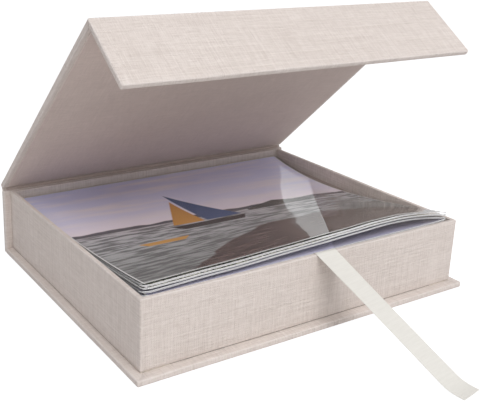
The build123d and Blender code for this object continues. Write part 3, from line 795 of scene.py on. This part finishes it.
# kraft paper for the corner stays and the ribbon's patch, its fibres showing
KRAFT_DARK, KRAFT_PALE = (0.60, 0.54, 0.44, 1), (0.80, 0.75, 0.66, 1)
paper_tape, tree = bare_material("paper_tape")
fibres = even_noise(tree, 600.0, 6.0, 1.5)
surfaced(tree, {"Base Color": laid_over(tree, fibres, KRAFT_DARK, KRAFT_PALE), "Roughness": 0.8,
                "Normal": raised(tree, fibres, 0.2, 0.00005)})
finish_node("tray_corner_tapes", paper_tape)
finish_node("ribbon_patch", paper_tape)


# ---------------------------------------------------------------- lift ribbon
# A flat off-white ribbon, woven with fine cross ribs. It is stuck to the floor under the
# prints, climbs the front wall, goes over the rim and runs straight down to the table.
RIBBON_WIDTH = 0.0170
RIBBON_THICK = 0.0004
RIBBON_X = 0.0072
RIBBON_RIB = 0.00042
RIBBON_COLUMNS = 12
RIBBON_CUP = 0.00012          # how far its long edges stand up
RIBBON_EDGE = 0.55            # how thick they are, as a share
RIBBON_DARK, RIBBON_PALE = (0.76, 0.74, 0.68, 1), (0.86, 0.84, 0.785, 1)
TAIL_START = (-0.1092, 0.053067)
TAIL_OFF = 0.0003             # where it leaves the rim's round, counted from the wall
TAIL_SLOPE = 0.5216
TAIL_TURN = 0.1874            # sideways drift for each metre outwards
TAIL_STRAIGHT = 0.0950
TAIL_REACH = 0.1110
ribbon_cloth, tree = bare_material("ribbon")
cut = shader_node(tree, "ShaderNodeAttribute", attribute_name="weave").outputs["Vector"]
parts = shader_node(tree, "ShaderNodeSeparateXYZ", {0: cut})
turned_y = calculated(tree, "MULTIPLY", parts.outputs["Y"], math.tau / RIBBON_RIB)
turned_x = calculated(tree, "MULTIPLY", parts.outputs["X"], math.tau / (RIBBON_RIB * 0.8))
ribs, ends = calculated(tree, "SINE", turned_y), calculated(tree, "SINE", turned_x)
uneven = stretched_noise(tree, cut, (90, 900, 20), 3.0, 4.4)
height = calculated(tree, "MULTIPLY_ADD", ends, 0.35, calculated(tree, "MULTIPLY_ADD", uneven, 0.8, ribs))
surfaced(tree, {
    "Base Color": laid_over(tree, uneven, RIBBON_DARK, RIBBON_PALE), "Roughness": 0.62,
    "Normal": raised(tree, height, 0.25, 0.00012),
    "Sheen Weight": 0.15, "Sheen Roughness": 0.5, "Specular IOR Level": 0.35})


def ribbon_mesh(stops):
    """A woven strip through stops: each is its middle, the way across and the way up."""
    bm = bmesh.new()
    weave = bm.loops.layers.float_vector.new("weave")
    rows, walked = [], [0.0]
    for i, (middle, across, up) in enumerate(stops):
        if i:
            walked.append(walked[-1] + (middle - stops[i - 1][0]).length)
        ring = []
        for turn in (1, -1):
            for column in range(RIBBON_COLUMNS + 1):
                share = (2 * column / RIBBON_COLUMNS - 1) * turn
                out = abs(share)
                lift = RIBBON_THICK / 2 * (RIBBON_EDGE if out > 0.99 else 1.0) * turn
                cup = RIBBON_CUP * out ** 2
                spot = middle + across * (share * RIBBON_WIDTH / 2) + up * (lift + cup)
                ring.append((bm.verts.new(spot), share * RIBBON_WIDTH / 2))
        rows.append(ring)
    count = len(rows[0])
    for step in range(len(rows) - 1):
        for i in range(count):
            j = (i + 1) % count
            corners = ((step, i), (step, j), (step + 1, j), (step + 1, i))
            face = bm.faces.new([rows[k][n][0] for k, n in corners])
            for edge, (k, n) in zip(face.loops, corners):
                edge[weave] = (rows[k][n][1], walked[k], 0.7)
    for ring in (rows[0], rows[-1]):
        for i in range(RIBBON_COLUMNS):
            bm.faces.new([ring[n][0] for n in (i, i + 1, count - 2 - i, count - 1 - i)])
    return bm, walked[-1]


def rounded_path(corners, radii, steps=5):
    """A path through corners in the plane of the ribbon, with each corner rounded."""
    path = [Vector(corners[0])]
    for i, radius in enumerate(radii, 1):
        at = Vector(corners[i])
        back, on = (Vector(corners[i - 1]) - at).normalized(), (Vector(corners[i + 1]) - at).normalized()
        half = back.angle(on) / 2
        middle = at + (back + on).normalized() * radius / math.sin(half)
        first, last = at + back * radius / math.tan(half) - middle, at + on * radius / math.tan(half) - middle
        whole = first.angle(last)
        for step in range(steps + 1):
            share = step / steps
            near, far = math.sin((1 - share) * whole), math.sin(share * whole)
            path.append(middle + (first * near + last * far) / math.sin(whole))
    path.append(Vector(corners[-1]))
    return path


ribbon_corners = [(-0.0256, 0.0070), (-0.1053, 0.0070), (-0.1053, 0.0535), (-0.10837, 0.0535), TAIL_START]
inside_path = rounded_path(ribbon_corners, (0.0012, 0.0008, 0.0011))
fine_path = []
for a, b in zip(inside_path, inside_path[1:]):
    pieces = max(1, round((b - a).length / 0.006))
    fine_path += [a.lerp(b, step / pieces) for step in range(pieces)]
fine_path.append(inside_path[-1])
stops = []
for i, at in enumerate(fine_path):
    way = (fine_path[min(i + 1, len(fine_path) - 1)] - fine_path[max(i - 1, 0)]).normalized()
    stops.append((Vector((RIBBON_X, at.x, at.y)), ACROSS, Vector((0, way.y, -way.x))))
inside_mesh, inside_length = ribbon_mesh(stops)
lift_ribbon = add_piece("lift_ribbon", inside_mesh, ribbon_cloth)
stretched_over(lift_ribbon, "box", ["lift_ribbon"])

stops = []
outs = [TAIL_OFF + (TAIL_STRAIGHT - TAIL_OFF) * step / 20 for step in range(21)]
outs += [TAIL_STRAIGHT + (TAIL_REACH - TAIL_STRAIGHT) * step / 10 for step in range(1, 11)]
for out in outs:
    if out <= TAIL_STRAIGHT:
        z = TAIL_START[1] - (out - TAIL_OFF) * TAIL_SLOPE
        slope = -TAIL_SLOPE
    else:   # easing on to the table
        run = TAIL_REACH - TAIL_STRAIGHT
        t = (out - TAIL_STRAIGHT) / run
        top = TAIL_START[1] - (TAIL_STRAIGHT - TAIL_OFF) * TAIL_SLOPE
        foot = RIBBON_THICK / 2 + 0.0001
        leaving = (t**3 - 2 * t**2 + t) * -TAIL_SLOPE * run
        z = (2 * t**3 - 3 * t**2 + 1) * top + leaving + (3 * t**2 - 2 * t**3) * foot
        slope = -TAIL_SLOPE * (1 - t)
    turn = TAIL_TURN * min(1.0, out / 0.03)
    across = Vector((1, turn, 0)).normalized()
    way = Vector((TAIL_TURN, -1, slope)).normalized()
    up = across.cross(way).normalized()
    middle = Vector((RIBBON_X + TAIL_TURN * out, -TRAY_HALF[1] - out, z))
    stops.append((middle, across, up if up.z > 0 else -up))
tail_mesh, tail_length = ribbon_mesh(stops)
ribbon_tail = add_piece("lift_ribbon_tail", tail_mesh, ribbon_cloth)
stretched_over(ribbon_tail, "box", ["lift_ribbon_tail"])
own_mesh(ribbon_tail)


# ---------------------------------------------------------------- lower prints
# The prints that fill the tray, each a card of coated paper, knocked together but
# never quite square.
STACK_HALF = (0.1300, 0.1046)
STACK_BOTTOM, STACK_TOP = 0.0079, 0.0349
STACK_SHEETS = 30
CARD_SHORT = 0.0008           # how far the cards stop short of the stack's own outline
CARD_STRAY = 0.0009           # and how far they stray within it
CARD_SHARE = 0.86             # a card's part of the pitch; the rest is the gap over it
CARD_CORNER = 0.0008
CARD_DARK, CARD_PALE = (0.62, 0.61, 0.60, 1), (0.80, 0.79, 0.77, 1)
cards, tree = bare_material("print_cards")
surfaced(tree, {"Base Color": laid_over(tree, even_noise(tree, 700.0, 4.0), CARD_DARK, CARD_PALE),
                "Roughness": 0.4, "Coat Weight": 0.4, "Coat Roughness": 0.2})
stack = bmesh.new()
pitch = (STACK_TOP - STACK_BOTTOM) / STACK_SHEETS
for sheet in range(STACK_SHEETS):
    shift = noise.noise_vector(Vector((sheet * 0.73, 1.1, 2.2))) * CARD_STRAY
    low, high = STACK_BOTTOM + sheet * pitch, STACK_BOTTOM + (sheet + CARD_SHARE) * pitch
    corners = []
    for z in (low, high):
        for x, y in ((-1, -1), (1, -1), (1, 1), (-1, 1)):
            corners.append(stack.verts.new((
                x * (STACK_HALF[0] - CARD_SHORT) + shift.x, y * (STACK_HALF[1] - CARD_SHORT) + shift.y, z)))
    stack.faces.new(corners[3::-1])
    stack.faces.new(corners[4:])
    for i in range(4):
        j = (i + 1) % 4
        stack.faces.new((corners[i], corners[j], corners[j + 4], corners[i + 4]))
upright = [edge for edge in stack.edges if abs(edge.verts[0].co.z - edge.verts[1].co.z) > 1e-5]
bmesh.ops.bevel(stack, geom=upright, offset=CARD_CORNER, segments=2, affect="EDGES")
print_stack = add_piece("print_stack", stack, cards)
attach(print_stack, "box")
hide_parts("print_stack")


# ---------------------------------------------------------------- sleeved prints
# The top five prints, each in a clear film sleeve that is folded at the rear, welded at
# its sides and open in front. They have bowed, so they rise over the rim in front.
SLEEVE_HALF = (130.0, 104.6)                 # millimetres here, as they are cut
PRINT_SIZE = (254.0, 203.2)
SLEEVE_FILM, SLEEVE_SLACK, PRINT_THICK = 0.2, 0.08, 0.3
PRINT_MARGIN = 0.4
SHEET_SLIP = 0.25
TOP_SHEETS, SHEETS = 3, 5
SHEET_PITCH, SHEET_FAN = 1.0, 1.0
RISE_LEFT = (12.2, 0.0, 4.0, 7.5)
RISE_RIGHT = (12.7, -46.5, 87.8, -30.2)
LOW_DROP = (3.5, 1.6)
ARCH = 6.6
ARCH_SHARES = ((-1.0, 0.0), (-0.46, 0.18), (-0.08, 0.5), (0.54, 1.0), (0.78, 0.8), (1.0, 0.0))
LOOSE_RISE = 0.6              # the topmost lie looser still, and stand higher in front
LOW_RISE = 2.5
FRONT_WAVER = 0.35            # how unevenly the loose front edges run
SLEEVE_CORNER = 5.0
CORNER_EASE = 20.0            # the round corners' cut fades out over this length
WELD_WIDTH = 1.1              # where the two films are welded, along each side
WELD_PRESSED = 0.55           # how thick they are there, as a share
# how solid the film is: faint milkiness at the welds, and painted highlights at the cut front edge and at the
# line behind it
WELD_WHITE, LIP_HIGHLIGHT, LINE_HIGHLIGHT = 0.12, 1.0, 0.85
LIP_WIDTH, LIP_TURN = 1.0, 1.4                # the film's cut front edge, and what is turned in of it
LINE_FROM, LINE_TO = 5.3, 6.0                 # a painted highlight across the topmost sleeve, behind its lip, over the print's front edge
MM = 0.001


def arch(x):
    """The share of the arch at a place across the sheets, eased over its points."""
    shares = []
    for off in (-0.14, -0.07, 0.0, 0.07, 0.14):
        place = x / SLEEVE_HALF[0] + off
        for (left, low), (right, high) in zip(ARCH_SHARES, ARCH_SHARES[1:]):
            if place <= right or right == 1.0:
                shares.append(low + (high - low) * (place - left) / (right - left))
                break
    return sum(shares) / len(shares)


def sheet_top(sheet, x, y):
    """Height of a sheet's upper face, counted from the topmost one down."""
    u = (SLEEVE_HALF[1] - y) / (2 * SLEEVE_HALF[1])
    right = (x + SLEEVE_HALF[0]) / (2 * SLEEVE_HALF[0])
    left_rise = sum(term * u**power for power, term in enumerate(RISE_LEFT))
    right_rise = sum(term * u**power for power, term in enumerate(RISE_RIGHT))
    over = (1 - right) * left_rise + right * right_rise
    if sheet < TOP_SHEETS:
        over += (ARCH * arch(x) + LOOSE_RISE * (1 - abs(x / SLEEVE_HALF[0])**6)) * u**2
    else:
        over += LOW_RISE * u**2 - ((1 - right) * LOW_DROP[0] + right * LOW_DROP[1]) * u**3
    over += noise.noise(Vector((x / 24, sheet * 3.1, 0.5))) * FRONT_WAVER * u**4
    return STACK_TOP / MM + over - sheet * (SHEET_PITCH + SHEET_FAN * u**3)


def spaced(low, high, steps, close=()):
    """Even places from low to high, with some close ones added."""
    even = {round(low + (high - low) * step / steps, 4) for step in range(steps + 1)}
    return sorted(even | {round(place, 4) for place in close})


def bowed_slab(sheet, xs, ys, drop, thick, slip):
    """A thin sheet that follows the bow, with its picture's places on it."""
    bm = bmesh.new()
    picture = bm.loops.layers.float_vector.new("picture")
    grid = {}
    for level in (0, 1):
        for i, x in enumerate(xs):
            for j, y in enumerate(ys):
                z = sheet_top(sheet, x, y) - drop - level * thick
                grid[level, i, j] = bm.verts.new(((x + slip) * MM, y * MM, z * MM))

    def add(corners, face_kind):
        face = bm.faces.new([grid[corner] for corner in corners])
        for edge, (_, i, j) in zip(face.loops, corners):
            u, v = (xs[i] - xs[0]) / (xs[-1] - xs[0]), (ys[j] - ys[0]) / (ys[-1] - ys[0])
            edge[picture] = (u, v, face_kind)

    across, along = len(xs) - 1, len(ys) - 1
    for i in range(across):
        for j in range(along):
            add([(0, i, j), (0, i + 1, j), (0, i + 1, j + 1), (0, i, j + 1)], 0.0)
            add([(1, i, j), (1, i, j + 1), (1, i + 1, j + 1), (1, i + 1, j)], 1.0)
    for i in range(across):
        for j in (0, along):
            add([(0, i, j), (0, i + 1, j), (1, i + 1, j), (1, i, j)], 1.0)
    for j in range(along):
        for i in (0, across):
            add([(0, i, j), (0, i, j + 1), (1, i, j + 1), (1, i, j)], 1.0)
    return bm


def sleeve_mesh(sheet, slip):
    """The film: over the print, round its fold at the rear and back under it."""
    bm = bmesh.new()
    weld_haze_and_highlight = bm.verts.layers.float.new("weld_haze_and_highlight")
    front, rear = -SLEEVE_HALF[1], SLEEVE_HALF[1]
    xs = spaced(-SLEEVE_HALF[0], SLEEVE_HALF[0], 52, (-129.6, -129.0, -128.6, 128.6, 129.0, 129.6))
    ys = spaced(front, rear, 40, [front + place for place in (0.35, 0.9, 1.3, 5.2, 5.45, 5.95, 6.2)])
    thick = 2 * SLEEVE_FILM + 2 * SLEEVE_SLACK + PRINT_THICK
    lip_ys = [y for y in ys if y - front < LIP_TURN]
    # one skin of film, with its cut edge turned in where it shows, at the open front
    outline = [(y, SLEEVE_FILM) for y in reversed(lip_ys)]
    outline += [(y, 0.0) for y in ys] + [(rear + 0.12, thick / 2)] + [(y, thick) for y in reversed(ys)]
    outline += [(y, thick - SLEEVE_FILM) for y in lip_ys]
    rows = []
    for x in xs:
        weld = SLEEVE_HALF[0] - abs(x) < WELD_WIDTH
        past = max(abs(x) - (SLEEVE_HALF[0] - SLEEVE_CORNER), 0.0)
        cut = SLEEVE_CORNER - math.sqrt(max(SLEEVE_CORNER**2 - past**2, 0.0))
        row = []
        for y, drop in outline:
            if weld:   # the two films are pressed together along the side
                drop = thick / 2 + (drop - thick / 2) * WELD_PRESSED
            # painted highlight: near-solid white within a millimetre of the cut front edge
            lip = LIP_HIGHLIGHT if y - front < LIP_WIDTH else 0.0
            on_top = drop < 0.1 and sheet == 0
            # painted highlight: a near-solid white line on the topmost sleeve, over the print's front edge
            line = LINE_HIGHLIGHT if on_top and LINE_FROM < y - front < LINE_TO else 0.0
            y += cut * max(0.0, 1 - (y - front) / CORNER_EASE)
            z = sheet_top(sheet, x, y) - drop
            vert = bm.verts.new(((x + slip) * MM, y * MM, z * MM))
            vert[weld_haze_and_highlight] = max(lip, line, WELD_WHITE if weld else 0.0)
            row.append(vert)
        rows.append(row)
    for i in range(len(xs) - 1):
        for k in range(len(outline) - 1):
            bm.faces.new((rows[i][k], rows[i + 1][k], rows[i + 1][k + 1], rows[i][k + 1]))
    return bm


# Clear film: it adds a soft gloss and a faint haze, is faintly milky along its welds, and carries painted
# highlights, near-solid white, along its cut front edge and along a line on the topmost sleeve.
film, tree = bare_material("clear_film")
weld_haze_and_highlight = shader_node(tree, "ShaderNodeAttribute", attribute_name="weld_haze_and_highlight").outputs["Fac"]
# near-solid where the attribute is high: the welds' milkiness and the painted highlights
solidness = shader_node(tree, "ShaderNodeMapRange", {"Value": weld_haze_and_highlight, "To Min": 0.02, "To Max": 0.95})
surfaced(tree, {
    "Base Color": (0.97, 0.97, 0.98, 1), "Roughness": 0.12, "IOR": 1.49, "Alpha": solidness.outputs[0],
    "Normal": raised(tree, even_noise(tree, 38.0, 2.0), 0.12, 0.0008)})


def picture_parts(name):
    """A print's material, with where each point lies on its picture: u across, v up."""
    material, tree = bare_material(name)
    at = shader_node(tree, "ShaderNodeAttribute", attribute_name="picture").outputs["Vector"]
    parts = shader_node(tree, "ShaderNodeSeparateXYZ", {0: at})
    return material, tree, at, parts.outputs["X"], parts.outputs["Y"], parts.outputs["Z"]


def graded(tree, value, stops):
    """A colour that changes through stops of (place, colour)."""
    ramp = shader_node(tree, "ShaderNodeValToRGB", {"Fac": value})
    elements = ramp.color_ramp.elements
    while len(elements) < len(stops):
        elements.new(0.5)
    for element, (place, colour) in zip(elements, stops):
        element.position = place
        element.color = (*colour, 1)
    return ramp.outputs["Color"]


def above(tree, value, edge, softness=0.004):
    """1 where the value is past an edge, with a soft step."""
    past = calculated(tree, "SUBTRACT", value, edge)
    return shader_node(tree, "ShaderNodeMapRange", {
        "Value": past, "From Min": -softness, "From Max": softness}).outputs[0]


def rest_of(tree, value):
    """What is left of 1."""
    return calculated(tree, "SUBTRACT", 1.0, value)


def both(tree, first, second):
    """Where two masks lie over one another."""
    return calculated(tree, "MULTIPLY", first, second)


FILM_LEAN = 0.02              # the film lies loose on the print and leans a little to the right,
FILM_CUP = 3.0                # cups up from a slanting line on, the more so towards the rear,
CUP_FRONT, CUP_RUN = 0.468, 0.54
FOLD_LEAN = 0.35              # and falls away to the right past a soft fold beside that line
FOLD_FRONT, FOLD_RUN = 0.571, 0.574
PRINT_BORDER = 0.0032         # as a share of the picture
BORDER_WHITE, BACK_WHITE = (0.80, 0.80, 0.79, 1), (0.74, 0.73, 0.71, 1)


def glossy_print(tree, colour, kind, u, v):
    """The picture on its coated paper: a white border, white cut edges and back, and the
    gloss of the clear film that lies on it."""
    inner = calculated(tree, "MINIMUM", calculated(tree, "MINIMUM", u, rest_of(tree, u)),
                       calculated(tree, "MINIMUM", v, rest_of(tree, v)))
    paper = laid_over(tree, above(tree, inner, PRINT_BORDER, 0.0006), BORDER_WHITE, colour)
    face = laid_over(tree, kind, paper, BACK_WHITE)
    rippled = raised(tree, even_noise(tree, 30.0, 2.0), 0.10, 0.0008)
    fold_u = calculated(tree, "MULTIPLY_ADD", v, FOLD_RUN, FOLD_FRONT)
    past_fold = above(tree, u, fold_u, 0.006)
    cup_u = calculated(tree, "MULTIPLY_ADD", v, CUP_RUN, CUP_FRONT)
    past_line = calculated(tree, "MAXIMUM", calculated(tree, "SUBTRACT", u, cup_u), 0.0)
    cup = calculated(tree, "MULTIPLY", calculated(tree, "MULTIPLY", past_line, v), -FILM_CUP)
    lean = calculated(tree, "ADD", calculated(tree, "MULTIPLY_ADD", past_fold, FOLD_LEAN, FILM_LEAN), cup)
    sideways = shader_node(tree, "ShaderNodeCombineXYZ", {"X": lean}).outputs[0]
    leaning = shader_node(tree, "ShaderNodeVectorMath", {0: rippled, 1: sideways}, operation="ADD")
    coat_normal = shader_node(tree, "ShaderNodeVectorMath", {0: leaning.outputs[0]}, operation="NORMALIZE")
    surfaced(tree, {
        "Base Color": face, "Roughness": 0.6, "Specular IOR Level": 0.03, "Coat Weight": 1.0,
        "Coat Roughness": 0.04, "Coat IOR": 1.49, "Coat Normal": coat_normal.outputs[0]})


# Print 1: a lake at dusk seen over a dark bank, with low hills, an islet and two boats.
lake, tree, at, u, v, kind = picture_parts("print_lake")
HORIZON = 0.50
sky = graded(tree, v, ((HORIZON, (0.96, 0.85, 0.89)), (0.56, (0.96, 0.87, 0.98)), (0.66, (0.84, 0.81, 1.0)),
                       (0.82, (0.76, 0.76, 1.0)), (1.0, (0.68, 0.70, 1.0))))
clouds = stretched_noise(tree, at, (3.0, 14.0, 1.0), 4.0, 2.0)
sky = laid_over(tree, above(tree, clouds, 0.60, 0.16), sky, (0.98, 0.90, 0.96, 1))
water = graded(tree, v, ((0.0, (0.26, 0.27, 0.265)), (0.25, (0.38, 0.39, 0.39)),
                         (0.42, (0.52, 0.52, 0.54)), (HORIZON, (0.62, 0.59, 0.62))))
ripples = stretched_noise(tree, at, (11.0, 62.0, 1.0), 4.0, 6.0)
dark_ripples = both(tree, above(tree, ripples, 0.50, 0.07), 0.80)
water = laid_over(tree, dark_ripples, water, (0.085, 0.09, 0.09, 1))
scene_colour = laid_over(tree, above(tree, v, HORIZON), water, sky)
crest = stretched_noise(tree, at, (5.5, 0.0, 0.0), 3.0, 9.0)
hills_top = calculated(tree, "MULTIPLY_ADD", crest, 0.065, HORIZON - 0.008)
hills = both(tree, above(tree, v, HORIZON - 0.006), rest_of(tree, above(tree, v, hills_top)))
scene_colour = laid_over(tree, hills, scene_colour, (0.11, 0.105, 0.12, 1))
from_islet = calculated(tree, "ABSOLUTE", calculated(tree, "SUBTRACT", u, 0.71))
islet_top = calculated(tree, "MULTIPLY_ADD", from_islet, -0.42, HORIZON + 0.045)
islet = both(tree, above(tree, v, HORIZON - 0.03), rest_of(tree, above(tree, v, islet_top)))
islet = both(tree, islet, rest_of(tree, above(tree, from_islet, 0.13)))
scene_colour = laid_over(tree, islet, scene_colour, (0.05, 0.055, 0.05, 1))
tufts = stretched_noise(tree, at, (7.0, 7.0, 0.0), 3.0, 11.0)
bank_bow = calculated(tree, "SINE", calculated(tree, "MULTIPLY_ADD", u, 3.1, -0.35))
bank_edge = calculated(tree, "ADD", calculated(tree, "MULTIPLY_ADD", bank_bow, 0.30, -0.02),
                       calculated(tree, "MULTIPLY_ADD", tufts, 0.09, -0.045))
bank = rest_of(tree, above(tree, v, bank_edge, 0.006))
furrows = stretched_noise(tree, at, (10.0, 95.0, 1.0), 3.0, 4.0)
earth = laid_over(tree, above(tree, furrows, 0.5, 0.10), (0.040, 0.027, 0.024, 1), (0.135, 0.092, 0.082, 1))
scene_colour = laid_over(tree, bank, scene_colour, earth)
SAILBOAT = (
    (((0.315, 0.395), (0.520, 0.395), (0.545, 0.440), (0.285, 0.440)), (0.030, 0.026, 0.024, 1)),
    (((0.415, 0.450), (0.540, 0.455), (0.415, 0.790)), (0.060, 0.105, 0.24, 1)),
    (((0.300, 0.455), (0.405, 0.450), (0.405, 0.715)), (0.66, 0.31, 0.055, 1)),
    (((0.150, 0.300), (0.265, 0.300), (0.290, 0.330), (0.130, 0.330)), (0.60, 0.31, 0.07, 1)),
)
for corners, paint in SAILBOAT:
    mask = None
    for (u0, v0), (u1, v1) in zip(corners, corners[1:] + corners[:1]):   # counterclockwise
        long_side = math.hypot(u1 - u0, v1 - v0)
        du, dv = (u1 - u0) / long_side, (v1 - v0) / long_side
        across_u = calculated(tree, "MULTIPLY_ADD", u, -dv, u0 * dv - v0 * du)
        inside = above(tree, calculated(tree, "MULTIPLY_ADD", v, du, across_u), 0.0, 0.002)
        mask = inside if mask is None else both(tree, mask, inside)
    scene_colour = laid_over(tree, mask, scene_colour, paint)
glossy_print(tree, scene_colour, kind, u, v)

# Prints 2 and 3: reeds along the water, pale stalks over dark ones.
reeds, tree, at, u, v, kind = picture_parts("print_reeds")
stalks = stretched_noise(tree, at, (62.0, 2.2, 0.0), 2.0, 1.0)
reed_colour = graded(tree, stalks, (
    (0.42, (0.015, 0.02, 0.015)), (0.49, (0.20, 0.22, 0.12)),
    (0.53, (0.95, 0.95, 0.76)), (0.60, (0.05, 0.06, 0.045))))
far_water = graded(tree, v, ((0.3, (0.16, 0.17, 0.17)), (0.6, (0.36, 0.35, 0.40))))
glossy_print(tree, laid_over(tree, above(tree, v, 0.34, 0.08), reed_colour, far_water), kind, u, v)

# Prints 4 and 5: an evening sky over low ground.
evening, tree, at, u, v, kind = picture_parts("print_evening")
haze = stretched_noise(tree, at, (3.0, 9.0, 0.0), 4.0, 8.0)
evening_sky = graded(tree, v, (
    (0.0, (0.76, 0.73, 0.97)), (0.5, (0.70, 0.67, 0.86)), (1.0, (0.70, 0.62, 0.70))))
hazy = both(tree, above(tree, haze, 0.55, 0.2), 0.6)
evening_colour = laid_over(tree, hazy, evening_sky, (0.86, 0.83, 0.93, 1))
glossy_print(tree, evening_colour, kind, u, v)

pictures = (lake, reeds, reeds, evening, evening)
for sheet in range(SHEETS):
    slip = SHEET_SLIP * (sheet % 2 * 2 - 1) if sheet else 0
    sleeve = add_piece(f"sleeve_{sheet + 1}", sleeve_mesh(sheet, slip), film, sharp=60)
    rear = PRINT_SIZE[1] + PRINT_MARGIN - SLEEVE_HALF[1] if sheet % 2 else SLEEVE_HALF[1] - PRINT_MARGIN
    half_print = PRINT_SIZE[0] / 2
    photo_print = add_piece(f"print_{sheet + 1}", bowed_slab(
        sheet, spaced(-half_print, half_print, 52), spaced(rear - PRINT_SIZE[1], rear, 40),
        SLEEVE_FILM + SLEEVE_SLACK, PRINT_THICK, slip), pictures[sheet])
    for piece, node, slot_name in ((sleeve, f"sleeve_{sheet + 1}", "clear_sleeve"),
                                   (photo_print, f"print_{sheet + 1}", "photo_print")):
        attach(piece, "box")
        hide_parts(node)
        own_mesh(piece)
